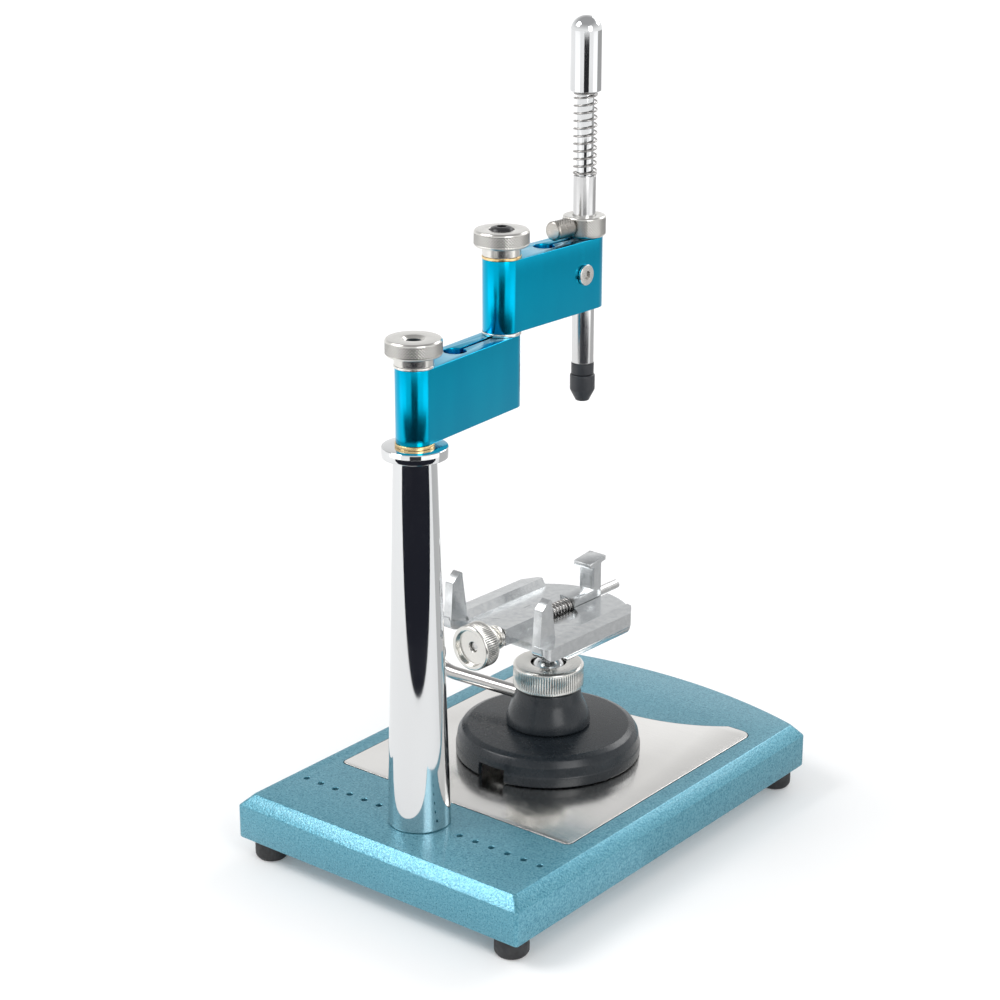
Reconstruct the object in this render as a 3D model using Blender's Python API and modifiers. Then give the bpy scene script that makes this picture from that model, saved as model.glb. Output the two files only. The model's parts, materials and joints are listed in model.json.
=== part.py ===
"""Dental laboratory surveyor: two swing arms on a column carry a sprung vertical spindle over a ball-jointed table.

Numbers are millimetres and turned into metres where a mesh is made. +Z is up, +Y runs from the column
to the bowed edge of the base, and the origin is at floor level under the middle of the base.
"""
import math

import bmesh
import bpy

MM = 0.001
GAP = 0.3                      # clearance between pieces that touch
SEGMENTS = 24                  # sides of an ordinary round piece

# Base
BASE_WIDTH = 180.0
BASE_FRONT_Y = -133.1
BASE_CORNER_Y = 118.0          # where the straight sides end
BASE_BOW = 15.2                # how far the far edge bows out past the corners
BASE_BOTTOM_Z = 11.4
BASE_TOP_Z = 35.1
BASE_CHAMFER = 5.8
FOOT_RADIUS = 8.5
FOOT_X = 78.1
FOOT_YS = (-121.7, 108.5)
TOOL_HOLE_RADIUS = 1.6
TOOL_HOLE_DEPTH = 15.0
TOOL_HOLE_Y = -97.3
TOOL_HOLE_FIRST_X = 26.2
TOOL_HOLE_PITCH = 9.9

# Steel plate let into the base
PLATE_HALF_WIDTH = 74.0
PLATE_NEAR_Y = -72.4
PLATE_FAR_Y = 90.4
PLATE_THICKNESS = 1.5
PLATE_PROUD = 0.2
PLATE_NEAR_CORNER = 3.0
PLATE_FAR_CORNER = 6.0
PLATE_SCOOP_RADIUS = 93.4      # hollow curve in the plate's far edge
PLATE_SCOOP_CENTRE_Y = 163.0

# Column
COLUMN_Y = -96.7
COLUMN_FOOT_RADIUS = 15.7
COLUMN_NECK_RADIUS = 10.6
COLUMN_NECK_Z = 224.5
COLUMN_TOP_Z = 229.8
FLANGE_RADIUS = 15.95

# Arms
LOWER_ARM_Z = (231.6, 268.1)
LOWER_ARM_LENGTH = 71.27
LOWER_ARM_ANGLE = 93.94        # degrees from +X, seen from above
LOWER_ARM_HALF_WIDTH = 9.1
LOWER_ARM_HOLE = (32.4, 5.6)   # distance along the arm, radius
UPPER_ARM_Z = (269.75, 305.7)
UPPER_ARM_LENGTH = 63.43
UPPER_ARM_ANGLE = 88.1
UPPER_ARM_HALF_WIDTH = 9.4
UPPER_ARM_HOLE = (32.0, 5.4)
CLAMP_SCREW_Z = (249.85, 289.0)  # lower arm, upper arm
ARM_SLOT_HALF_WIDTH = 1.0
PIVOT_RADIUS = 5.0
UPPER_PIVOT_RADIUS = 4.0
CLAMP_SCREW_BACK = 11.1        # clamp screws cross the slot this far before the clamped bore
CLAMP_SCREW_RADIUS = 2.5
CLAMP_SCREW_HEAD = (5.2, 1.5)  # radius, thickness

# Spindle
ROD_RADIUS = 4.2
SLEEVE_RADIUS = 5.65
SLEEVE_Z = (240.1, 336.1)
COLLAR_RADIUS = 10.9
COLLAR_Z = (306.0, 316.2)
THUMB_SCREW_Z = 311.8
CAP_RADIUS = 7.74
CAP_Z = (377.7, 414.6)
SPRING_MEAN_RADIUS = 5.65
SPRING_WIRE_RADIUS = 0.45
SPRING_TURNS = 10.5
CHUCK_Z = (220.0, 239.8)

# Survey table
TABLE_Y = 7.4
TABLE_RADIUS = 48.5
TABLE_TOP_Z = 51.0
NOTCH_HALF_WIDTH = 8.3
NOTCH_TOP_Z = 43.0
POST_RADIUS = 12.0
NECK_Z = (52.2, 72.0)
KNURL_CAP_Z = (72.3, 85.4)
KNURL_CAP_RADIUS = 18.4
BALL_Z = 78.5
BALL_RADIUS = 10.0
LEVER_ANGLE = 182.3
LEVER_Z = 63.0
LEVER_RADIUS = 3.6
LEVER_BEND_START = 62.0
HANDLE_BALL_RADIUS = 9.3
HANDLE_BALL = (79.1, 70.7)     # distance from the table's axis, height

# Cast platform, in its own frame: origin on the ball, local Y along the clamp screw
PLATFORM_YAW = -2.1
PLATFORM_RADIUS = 42.5         # the round far edge
PLATFORM_HALF_WIDTH = 36.9
PLATFORM_UNDER_Z = 108.4
PLATFORM_FLOOR_Z = 112.2
PLATFORM_FRONT_Y = -36.9       # the floor's front edge, between the fingers
NOSE_Y = -46.0                 # front of the fingers and of the rails beside them
RAIL_INNER_X = 26.0
RAIL_RIDGE = (28.5, 116.3)     # x and height of a rail's highest edge
RAIL_OUTER_Z = 115.0
FINGER_X = (27.0, 32.0)
SKIRT_FRONT_Y = -30.0
RAIL_END_Y = 29.0                # square far ends of the rails
CLAMP_AXIS_Z = 112.2
CLAMP_ROD_RADIUS = 2.4
RIB_HALF_WIDTH = 5.9
RIB_FRONT_Y = -41.2
RIB_END_Y = -3.5
RIB_TOP_Z = 117.6
GROOVE_HALF_WIDTH = 5.2
JAW_NEAR_Y = 15.0
JAW_FAR_Y = 37.0
JAW_HALF_WIDTH = 4.85
JAW_BAR_TOP_Z = 117.0
JAW_SPRING_RADIUS = 3.6
JAW_SPRING_WIRE = 0.5
JAW_SPRING_TURNS = 7.0
CLAMP_KNOB_RADIUS = 11.7
CLAMP_KNOB_FACE_Y = -61.9

for old in list(bpy.data.objects):
    bpy.data.objects.remove(old, do_unlink=True)
for old in list(bpy.data.collections):
    bpy.data.collections.remove(old)
parts = bpy.data.collections.new("dental_surveyor")
cutters = bpy.data.collections.new("cutters")
bpy.context.scene.collection.children.link(parts)
bpy.context.scene.collection.children.link(cutters)


def material(name, colour, roughness, metallic):
    """One Principled material with a plain colour."""
    made = bpy.data.materials.new(name)
    made.use_nodes = True
    shader = made.node_tree.nodes["Principled BSDF"]
    shader.inputs["Base Color"].default_value = (*colour, 1.0)
    shader.inputs["Roughness"].default_value = roughness
    shader.inputs["Metallic"].default_value = metallic
    return made


PAINT = material("blue_paint", (0.25, 0.47, 0.55), 0.4, 0.5)
ANODISED = material("blue_anodised", (0.0, 0.26, 0.44), 0.25, 0.9)
CHROME = material("chrome", (0.80, 0.80, 0.82), 0.06, 1.0)
NICKEL = material("nickel", (0.68, 0.67, 0.64), 0.25, 1.0)
STEEL = material("steel", (0.62, 0.62, 0.61), 0.3, 1.0)
BRASS = material("brass", (0.75, 0.55, 0.25), 0.3, 1.0)
CASTING = material("cast_metal", (0.62, 0.64, 0.66), 0.4, 0.9)
BLACK = material("black_plastic", (0.03, 0.035, 0.04), 0.35, 0.0)
RUBBER = material("black_rubber", (0.02, 0.02, 0.02), 0.8, 0.0)
BLACK_STEEL = material("black_steel", (0.04, 0.04, 0.045), 0.4, 0.8)


def pivot(name, place, turn=(0.0, 0.0, 0.0), parent=None):
    """An empty on a joint axis. Place in millimetres, turn in degrees."""
    empty = bpy.data.objects.new(name, None)
    empty.empty_display_size = 0.01
    empty.location = [v * MM for v in place]
    empty.rotation_euler = [math.radians(v) for v in turn]
    empty.parent = parent
    parts.objects.link(empty)
    return empty


def place(obj, where, parent, turn=(0.0, 0.0, 0.0)):
    obj.location = [v * MM for v in where]
    obj.rotation_euler = [math.radians(v) for v in turn]
    obj.parent = parent


def finish(mesh):
    """Shade round stretches smooth and keep the corners crisp."""
    mesh.shade_smooth()
    mesh.set_sharp_from_angle(angle=math.radians(35.0))


def mesh_object(name, mesh, look, where=(0, 0, 0), parent=None, turn=(0, 0, 0)):
    obj = bpy.data.objects.new(name, mesh)
    if look is None:
        cutters.objects.link(obj)
        obj.hide_render = True
        obj.display_type = "WIRE"
    else:
        parts.objects.link(obj)
        obj.data.materials.append(look)
    place(obj, where, parent, turn)
    return obj


def turned(name, profile, look, where=(0, 0, 0), parent=None, turn=(0, 0, 0), steps=SEGMENTS, ring=False):
    """A lathe shape about local Z. The profile runs down its outer side; a ring's profile is closed."""
    mesh = bpy.data.meshes.new(name)
    points = [(radius * MM, 0.0, height * MM) for radius, height in profile]
    edges = [(i, i + 1) for i in range(len(points) - 1)]
    if ring:
        edges.append((len(points) - 1, 0))
    mesh.from_pydata(points, edges, [])
    obj = mesh_object(name, mesh, look, where, parent, turn)
    screw = obj.modifiers.new("turn", "SCREW")
    screw.axis = "Z"
    screw.angle = 2.0 * math.pi
    screw.steps = steps
    screw.render_steps = steps
    screw.use_merge_vertices = True
    screw.merge_threshold = 0.00001
    baked = bpy.data.meshes.new_from_object(evaluated(obj))
    obj.modifiers.clear()
    obj.data = baked
    finish(baked)
    return obj


def evaluated(obj):
    bpy.context.view_layer.update()
    return obj.evaluated_get(bpy.context.evaluated_depsgraph_get())


def rod(name, radius, low, high, look, where=(0, 0, 0), parent=None, turn=(0, 0, 0), steps=SEGMENTS):
    """A plain round bar from low to high along local Z."""
    return turned(name, [(0, high), (radius, high), (radius, low), (0, low)], look, where, parent, turn, steps)


def tube(name, outer, inner, low, high, look, where=(0, 0, 0), parent=None, turn=(0, 0, 0), steps=SEGMENTS):
    """A plain ring or sleeve from low to high along local Z."""
    profile = [(outer, high), (outer, low), (inner, low), (inner, high)]
    return turned(name, profile, look, where, parent, turn, steps, ring=True)


def box(name, low, high, look, parent=None, turn=(0, 0, 0)):
    """A block between two corners."""
    mesh = bpy.data.meshes.new(name)
    shape = bmesh.new()
    bmesh.ops.create_cube(shape, size=1.0)
    for vert in shape.verts:
        for axis in range(3):
            middle = (low[axis] + high[axis]) / 2.0
            vert.co[axis] = (middle + vert.co[axis] * (high[axis] - low[axis])) * MM
    shape.to_mesh(mesh)
    shape.free()
    return mesh_object(name, mesh, look, (0, 0, 0), parent, turn)


def slab(name, outline, low, high, look, parent=None, where=(0, 0, 0), turn=(0, 0, 0)):
    """A flat outline, given anticlockwise, as a slab from low to high along local Z."""
    curve = bpy.data.curves.new(name, "CURVE")
    curve.dimensions = "2D"
    curve.fill_mode = "BOTH"
    curve.extrude = (high - low) / 2.0 * MM
    spline = curve.splines.new("POLY")
    spline.points.add(len(outline) - 1)
    for point, (x, y) in zip(spline.points, outline):
        point.co = (x * MM, y * MM, 0.0, 1.0)
    spline.use_cyclic_u = True
    guide = bpy.data.objects.new(name + "_outline", curve)
    cutters.objects.link(guide)
    mesh = bpy.data.meshes.new_from_object(evaluated(guide))
    bpy.data.objects.remove(guide, do_unlink=True)
    shape = bmesh.new()
    shape.from_mesh(mesh)
    bmesh.ops.remove_doubles(shape, verts=shape.verts, dist=0.00001)
    bmesh.ops.recalc_face_normals(shape, faces=shape.faces)
    for vert in shape.verts:
        vert.co.z += (high + low) / 2.0 * MM
    shape.to_mesh(mesh)
    shape.free()
    mesh.materials.clear()
    return mesh_object(name, mesh, look, where, parent, turn)


def combine(target, other, operation):
    step = target.modifiers.new(other.name, "BOOLEAN")
    step.operation = operation
    step.solver = "EXACT"
    step.object = other


def cut(target, *tools):
    for tool in tools:
        combine(target, tool, "DIFFERENCE")


def add(target, *others):
    for other in others:
        combine(target, other, "UNION")


def bake(obj):
    """Keep the result of the modifiers as the object's own mesh, so that its shading can be set."""
    baked = bpy.data.meshes.new_from_object(evaluated(obj))
    obj.modifiers.clear()
    obj.data = baked
    finish(baked)


def arc(centre, radius, start, end, steps):
    """Points on a circle between two angles in degrees."""
    points = []
    for i in range(steps + 1):
        angle = math.radians(start + (end - start) * i / steps)
        points.append((centre[0] + radius * math.cos(angle), centre[1] + radius * math.sin(angle)))
    return points


def stadium(length, half_width, steps=12):
    """The plan of an arm: a bar along +Y with a half circle round each pivot."""
    return arc((0.0, 0.0), half_width, 180.0, 360.0, steps) + arc((0.0, length), half_width, 0.0, 180.0, steps)


def helix(name, mean_radius, wire_radius, low, high, turns, look, where, parent, turn=(0, 0, 0)):
    """A coil spring along local Z."""
    curve = bpy.data.curves.new(name, "CURVE")
    curve.dimensions = "3D"
    curve.bevel_depth = wire_radius * MM
    curve.bevel_resolution = 1
    curve.use_fill_caps = True
    per_turn = 9
    count = int(turns * per_turn) + 1
    spline = curve.splines.new("POLY")
    spline.points.add(count - 1)
    bottom = low + wire_radius
    rise = high - low - 2.0 * wire_radius
    for i, point in enumerate(spline.points):
        share = i / (count - 1)
        angle = 2.0 * math.pi * turns * share
        across = mean_radius * MM
        point.co = (across * math.cos(angle), across * math.sin(angle), (bottom + rise * share) * MM, 1.0)
    obj = bpy.data.objects.new(name, curve)
    parts.objects.link(obj)
    curve.materials.append(look)
    place(obj, where, parent, turn)
    return obj


def base_outline():
    """Straight front and sides, and a far edge bowed out on a circle."""
    half = BASE_WIDTH / 2.0
    radius = (half * half + BASE_BOW * BASE_BOW) / (2.0 * BASE_BOW)
    centre = (0.0, BASE_CORNER_Y + BASE_BOW - radius)
    reach = math.degrees(math.asin(half / radius))
    bow = arc(centre, radius, 90.0 - reach, 90.0 + reach, 12)
    return [(-half, BASE_FRONT_Y), (half, BASE_FRONT_Y)] + bow


def plate_outline(grow):
    """The steel plate's outline, let out by grow for its recess."""
    half = PLATE_HALF_WIDTH
    near = PLATE_NEAR_CORNER
    far = PLATE_FAR_CORNER
    scoop = PLATE_SCOOP_RADIUS - grow
    top = PLATE_FAR_Y + grow
    reach = math.degrees(math.asin((PLATE_SCOOP_CENTRE_Y - top) / scoop))
    return (
        arc((-half + near, PLATE_NEAR_Y + near), near + grow, 180.0, 270.0, 4)
        + arc((half - near, PLATE_NEAR_Y + near), near + grow, 270.0, 360.0, 4)
        + arc((half - far, PLATE_FAR_Y - far), far + grow, 0.0, 90.0, 5)
        + arc((0.0, PLATE_SCOOP_CENTRE_Y), scoop, -reach, -180.0 + reach, 18)
        + arc((-half + far, PLATE_FAR_Y - far), far + grow, 90.0, 180.0, 5)
    )


def build_base():
    base = slab("base_plate", base_outline(), BASE_BOTTOM_Z, BASE_TOP_Z, PAINT)
    weights = base.data.attributes.new("bevel_weight_edge", "FLOAT", "EDGE")
    verts = base.data.vertices
    for edge in base.data.edges:
        ends = [verts[i].co for i in edge.vertices]
        weights.data[edge.index].value = 1.0 if min(end.z for end in ends) > (BASE_TOP_Z - 1.0) * MM else 0.0
    chamfer = base.modifiers.new("chamfer", "BEVEL")
    chamfer.limit_method = "WEIGHT"
    chamfer.width = BASE_CHAMFER * MM
    chamfer.segments = 1
    soften = base.modifiers.new("soften", "BEVEL")
    soften.limit_method = "ANGLE"
    soften.angle_limit = math.radians(25.0)
    soften.width = 0.8 * MM
    soften.segments = 1
    plate_low = BASE_TOP_Z + PLATE_PROUD - PLATE_THICKNESS
    recess = slab("plate_recess", plate_outline(GAP), plate_low - GAP, BASE_TOP_Z + 2.0, None)
    cut(base, recess)
    for side in (-1, 1):
        for i in range(6):
            x = side * (TOOL_HOLE_FIRST_X + i * TOOL_HOLE_PITCH)
            hole = rod(f"tool_hole_{side}_{i}", TOOL_HOLE_RADIUS, BASE_TOP_Z - TOOL_HOLE_DEPTH,
                       BASE_TOP_Z + 2.0, None, (x, TOOL_HOLE_Y, 0), steps=10)
            cut(base, hole)
    bolt_way = rod("column_bolt_way", PIVOT_RADIUS + GAP, BASE_BOTTOM_Z - 1.0, BASE_TOP_Z + 2.0,
                   None, (0, COLUMN_Y, 0))
    counterbore = rod("column_bolt_counterbore", 11.0, BASE_BOTTOM_Z - 2.0, 22.4, None, (0, COLUMN_Y, 0))
    cut(base, bolt_way, counterbore)
    for x in (-FOOT_X, FOOT_X):
        for y in FOOT_YS:
            cut(base, rod(f"foot_screw_hole_{x}_{y}", 2.0 + GAP, BASE_BOTTOM_Z - 2.0, 21.0, None,
                          (x, y, 0), steps=12))
    bake(base)
    slab("steel_plate", plate_outline(0.0), plate_low, plate_low + PLATE_THICKNESS, STEEL)


def build_feet():
    top = BASE_BOTTOM_Z - GAP
    foot_profile = [(FOOT_RADIUS, top), (FOOT_RADIUS, 1.2), (FOOT_RADIUS - 1.2, 0.0), (4.6, 0.0),
                    (4.6, 4.0), (2.3, 4.0), (2.3, top)]
    screw_profile = [(0, 19.5), (2.0, 19.5), (2.0, 3.7), (4.2, 3.7), (3.4, 1.6), (0, 1.4)]
    number = 0
    for y in FOOT_YS:
        for x in (-FOOT_X, FOOT_X):
            number += 1
            turned(f"foot_{number}", foot_profile, RUBBER, (x, y, 0), ring=True, steps=16)
            turned(f"foot_screw_{number}", screw_profile, STEEL, (x, y, 0), steps=10)


def build_column():
    where = (0, COLUMN_Y, 0)
    bore = PIVOT_RADIUS + GAP
    turned("column", [
        (0, 205.0), (bore, 205.0), (bore, COLUMN_TOP_Z), (FLANGE_RADIUS - 0.6, COLUMN_TOP_Z),
        (FLANGE_RADIUS, COLUMN_TOP_Z - 0.6), (FLANGE_RADIUS, COLUMN_NECK_Z + 0.6),
        (FLANGE_RADIUS - 0.6, COLUMN_NECK_Z), (COLUMN_NECK_RADIUS, COLUMN_NECK_Z),
        (COLUMN_FOOT_RADIUS, BASE_TOP_Z + GAP), (bore, BASE_TOP_Z + GAP), (bore, 72.0), (0, 72.0),
    ], CHROME, where, steps=32)
    tube("column_washer", 10.0, bore, 20.6, 22.1, STEEL, where)
    turned("column_bolt", [(0, 68.0), (PIVOT_RADIUS, 68.0), (PIVOT_RADIUS, 20.3), (8.0, 20.3), (8.0, 13.2),
                           (0, 13.2)], STEEL, where)
    rod("lower_pivot_stud", PIVOT_RADIUS, 206.0, 276.2, STEEL, where)
    tube("lower_washer", 9.5, bore, COLUMN_TOP_Z + GAP, LOWER_ARM_Z[0] - GAP, BRASS, where)


def clamp_screw(name, parent, side, half_width, along, height):
    """A cheese-headed screw across an arm's slot, its head on the side given (1 or -1)."""
    radius, thickness = CLAMP_SCREW_HEAD
    start = half_width + GAP
    turned(name, [
        (0, start + thickness), (radius - 0.5, start + thickness), (radius, start + thickness - 0.5),
        (radius, start), (CLAMP_SCREW_RADIUS, start), (CLAMP_SCREW_RADIUS, -6.5), (0, -6.5),
    ], NICKEL, (0, along, height), parent, (0, 90.0 * side, 0), steps=24)


def build_arm(name, parent, heights, length, half_width, hole, bores, screw_side, screw_z):
    """An arm with a bore at each end and a slot from its relief hole out through the far bore."""
    low, high = heights
    arm = slab(name, stadium(length, half_width), low, high, ANODISED, parent)
    for label, along, radius in (("near", 0.0, bores[0]), ("far", length, bores[1]), ("relief", *hole)):
        cut(arm, rod(f"{name}_{label}_bore", radius, low - 1.0, high + 1.0, None, (0, along, 0), parent))
    slot_low = (-ARM_SLOT_HALF_WIDTH, hole[0], low - 1.5)
    slot_high = (ARM_SLOT_HALF_WIDTH, length + half_width + 2.0, high + 1.5)
    cut(arm, box(f"{name}_slot", slot_low, slot_high, None, parent))
    along = length - CLAMP_SCREW_BACK
    cut(arm, rod(f"{name}_screw_way", CLAMP_SCREW_RADIUS + GAP, -7.0, half_width + 2.0, None,
                 (0, along, screw_z), parent, (0, 90.0 * screw_side, 0), steps=24))
    bake(arm)
    clamp_screw(f"{name}_clamp_screw", parent, screw_side, half_width, along, screw_z)


def clamp_knob(name, parent, look, boss, head, bore_radius, top_hole):
    """A knurled nut with a narrower boss below its head."""
    boss_low, boss_high = boss
    high = head
    profile = [(9.5, boss_high), (9.5, boss_low), (bore_radius, boss_low)] + top_hole + [
        (13.0, high), (13.6, high - 0.6), (13.6, boss_high + 0.6), (13.0, boss_high)]
    return turned(name, profile, look, (0, 0, 0), parent, ring=True)


def build_arms():
    column = pivot("lower_arm_pivot", (0, COLUMN_Y, 0), (0, 0, LOWER_ARM_ANGLE - 90.0))
    build_arm("lower_arm", column, LOWER_ARM_Z, LOWER_ARM_LENGTH, LOWER_ARM_HALF_WIDTH, LOWER_ARM_HOLE,
              (PIVOT_RADIUS + GAP, UPPER_PIVOT_RADIUS + GAP), -1, CLAMP_SCREW_Z[0])
    washer_low = LOWER_ARM_Z[1] + GAP
    tube("lower_knob_washer", 9.6, PIVOT_RADIUS + GAP, washer_low, washer_low + 0.6, NICKEL, (0, 0, 0), column)
    bore = PIVOT_RADIUS + GAP
    clamp_knob("lower_clamp_knob", column, NICKEL, (washer_low + 0.6 + GAP, 273.8), 281.8, bore,
               [(bore, 276.5), (3.4, 276.5), (3.4, 280.3), (5.8, 281.8)])

    elbow = pivot("upper_arm_pivot", (0, LOWER_ARM_LENGTH, 0), (0, 0, UPPER_ARM_ANGLE - LOWER_ARM_ANGLE), column)
    build_arm("upper_arm", elbow, UPPER_ARM_Z, UPPER_ARM_LENGTH, UPPER_ARM_HALF_WIDTH, UPPER_ARM_HOLE,
              (UPPER_PIVOT_RADIUS + GAP, SLEEVE_RADIUS + GAP), 1, CLAMP_SCREW_Z[1])
    tube("middle_washer", 9.7, UPPER_PIVOT_RADIUS + GAP, LOWER_ARM_Z[1] + GAP, UPPER_ARM_Z[0] - GAP, NICKEL,
         (0, 0, 0), elbow)
    washer_low = UPPER_ARM_Z[1] + GAP
    tube("upper_knob_washer", 9.7, UPPER_PIVOT_RADIUS + GAP, washer_low, washer_low + 0.8, BRASS, (0, 0, 0), elbow)
    clamp_knob("upper_clamp_knob", elbow, NICKEL, (washer_low + 0.8 + GAP, 312.0), 319.7,
               UPPER_PIVOT_RADIUS + GAP, [(UPPER_PIVOT_RADIUS + GAP, 316.0), (6.2, 316.0), (6.2, 319.7)])
    screw = turned("upper_pivot_screw", [
        (0, 321.2), (2.6, 321.0), (4.6, 320.3), (5.8, 318.9), (5.8, 316.3), (UPPER_PIVOT_RADIUS, 316.3),
        (UPPER_PIVOT_RADIUS, 236.0), (0, 236.0)], BLACK_STEEL, (0, 0, 0), elbow)
    cut(screw, rod("hex_socket", 2.6, 318.0, 323.0, None, (0, 0, 0), elbow, steps=6))
    bake(screw)
    build_spindle(pivot("spindle_axis", (0, UPPER_ARM_LENGTH, 0), (0, 0, 0), elbow))


def build_spindle(axis):
    centre = (0, 0, 0)
    sleeve = tube("spindle_sleeve", SLEEVE_RADIUS, ROD_RADIUS + GAP, *SLEEVE_Z, CHROME, centre, axis)
    collar = turned("sleeve_collar", [
        (COLLAR_RADIUS - 0.6, COLLAR_Z[1]), (COLLAR_RADIUS, COLLAR_Z[1] - 0.6),
        (COLLAR_RADIUS, COLLAR_Z[0] + 0.6), (COLLAR_RADIUS - 0.6, COLLAR_Z[0]),
        (SLEEVE_RADIUS + GAP, COLLAR_Z[0]), (SLEEVE_RADIUS + GAP, COLLAR_Z[1])], NICKEL, centre, axis, ring=True)
    thumb = (0, 0, THUMB_SCREW_Z)
    way = rod("thumb_screw_way", 2.3, 3.0, 20.0, None, thumb, axis, (90, 0, 0), steps=16)
    for piece in (sleeve, collar):
        cut(piece, way)
        bake(piece)
    turned("collar_thumb_screw", [
        (0, 25.0), (4.4, 25.0), (4.9, 24.5), (4.9, 12.5), (4.4, 12.0), (2.0, 12.0),
        (2.0, ROD_RADIUS + GAP), (0, ROD_RADIUS + GAP)], NICKEL, thumb, axis, (90, 0, 0), steps=24)
    rod("spindle_rod", ROD_RADIUS, 236.0, 389.0, CHROME, centre, axis)
    helix("spindle_spring", SPRING_MEAN_RADIUS, SPRING_WIRE_RADIUS, SLEEVE_Z[1] + GAP, CAP_Z[0] - GAP,
          SPRING_TURNS, STEEL, centre, axis)
    bore = ROD_RADIUS + GAP
    dome = 7.1
    dome_profile = [(CAP_RADIUS * math.sin(math.radians(a)), CAP_Z[1] - dome + dome * math.cos(math.radians(a)))
                    for a in (0, 18, 36, 54, 72, 90)]
    turned("spindle_cap", dome_profile + [
        (CAP_RADIUS, CAP_Z[0] + 0.5), (CAP_RADIUS - 0.5, CAP_Z[0]), (bore, CAP_Z[0]), (bore, 389.4), (0, 389.4)],
        CHROME, centre, axis)
    turned("chuck_body", [
        (0, 235.7), (bore, 235.7), (bore, CHUCK_Z[1]), (5.8, CHUCK_Z[1]), (5.8, 234.2), (4.6, 234.2),
        (4.6, 225.8), (2.6, CHUCK_Z[0] + 0.4), (1.2, CHUCK_Z[0] + 0.4), (1.2, 232.0), (0, 232.0)],
        BLACK_STEEL, centre, axis)
    turned("chuck_nut", [
        (6.4, 233.4), (6.4, 225.8), (3.3, CHUCK_Z[0]), (2.95, CHUCK_Z[0]), (4.9, 225.6), (4.9, 233.9),
        (5.9, 233.9)], BLACK_STEEL, centre, axis, ring=True)


def build_table():
    axis = pivot("table_axis", (0, TABLE_Y, 0))
    rod("table_glide", 12.0, 35.6, 39.2, RUBBER, (0, 0, 0), axis)
    shell = turned("table_base", [
        (POST_RADIUS + GAP, 51.9), (21.5, 51.6), (42.7, TABLE_TOP_Z), (44.6, 50.3), (46.6, 48.4),
        (47.9, 45.2), (48.3, 41.2), (TABLE_RADIUS, 41.0), (TABLE_RADIUS, 36.2), (48.1, 35.8), (45.6, 35.8),
        (45.6, 44.0), (43.5, 48.0), (POST_RADIUS + GAP, 48.6)], BLACK, (0, 0, 0), axis, steps=44, ring=True)
    cut(shell, box("table_notch", (-NOTCH_HALF_WIDTH, -52.0, 30.0), (NOTCH_HALF_WIDTH, -40.0, NOTCH_TOP_Z),
                   None, axis))
    tube("table_weight", 42.0, 18.5, 39.5, 47.7, STEEL, (0, 0, 0), axis, steps=32)
    post = turned("socket_post", [
        (POST_RADIUS, 84.0), (POST_RADIUS, 48.3), (17.5, 48.3), (17.5, 45.3), (6.0, 45.3), (6.0, 66.0),
        (BALL_RADIUS + 0.4, 70.0), (BALL_RADIUS + 0.4, 84.0)], STEEL, (0, 0, 0), axis, ring=True)
    for i in range(3):
        angle = math.radians(90.0 + 120.0 * i)
        spot = (14.8 * math.cos(angle), 14.8 * math.sin(angle), 0)
        way = rod(f"socket_screw_way_{i + 1}", 1.3 + GAP, 44.0, 50.6, None, spot, axis, steps=12)
        cut(shell, way)
        cut(post, way)
        turned(f"socket_screw_{i + 1}", [(0, 50.2), (1.3, 50.2), (1.3, 45.0), (2.4, 45.0), (2.0, 43.4), (0, 43.2)],
               STEEL, spot, axis, steps=12)
    bake(shell)
    bake(post)
    rod("ball_pad", 5.6, 52.0, BALL_Z - BALL_RADIUS - 0.4, BRASS, (0, 0, 0), axis, steps=24)
    neck = turned("lock_neck", [
        (16.8, NECK_Z[1]), (17.5, 67.2), (19.0, 64.4), (21.0, 59.2), (22.1, 52.9), (21.8, NECK_Z[0]),
        (POST_RADIUS + 0.4, NECK_Z[0]), (POST_RADIUS + 0.4, NECK_Z[1])], BLACK, (0, 0, 0), axis, ring=True)
    handle = pivot("lever_axis", (0, 0, LEVER_Z), (0, 0, LEVER_ANGLE), axis)
    cut(neck, rod("lever_way", LEVER_RADIUS + GAP, 5.0, 40.0, None, (0, 0, 0), handle, (0, 90, 0), steps=24))
    bake(neck)
    build_lever(handle)
    low, high = KNURL_CAP_Z
    turned("knurled_cap", [
        (17.6, high), (KNURL_CAP_RADIUS, high - 0.8), (KNURL_CAP_RADIUS, low + 0.8), (17.8, low),
        (POST_RADIUS + GAP, low), (POST_RADIUS + GAP, high - 1.1), (9.3, high - 1.1), (9.3, high)],
        NICKEL, (0, 0, 0), axis, ring=True, steps=32)
    build_ball(axis)


def build_lever(handle):
    """A round bar out of the neck that bends up into its ball."""
    reach, height = HANDLE_BALL
    rise = height - LEVER_Z
    curve = bpy.data.curves.new("lock_lever", "CURVE")
    curve.dimensions = "3D"
    curve.bevel_depth = LEVER_RADIUS * MM
    curve.bevel_resolution = 3
    curve.use_fill_caps = True
    bend = (LEVER_BEND_START + 7.5, 1.77)
    path = [(POST_RADIUS + 1.2, 0.0), (LEVER_BEND_START, 0.0), (LEVER_BEND_START + 4.0, 0.35), bend,
            (reach - 2.0, rise - 1.24)]
    spline = curve.splines.new("POLY")
    spline.points.add(len(path) - 1)
    for point, (x, z) in zip(spline.points, path):
        point.co = (x * MM, 0.0, z * MM, 1.0)
    lever = bpy.data.objects.new("lock_lever", curve)
    curve.materials.append(CHROME)
    parts.objects.link(lever)
    place(lever, (0, 0, 0), handle)
    ball = sphere("lever_ball", HANDLE_BALL_RADIUS, BLACK, (reach, 0, rise), handle)
    lean = math.degrees(math.atan2(rise - bend[1], reach - bend[0]))
    way = rod("lever_ball_way", LEVER_RADIUS + GAP, -30.0, -1.0, None, (reach, 0, rise), handle, (0, 90.0 - lean, 0),
              steps=24)
    cut(ball, way)
    bake(ball)


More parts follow.
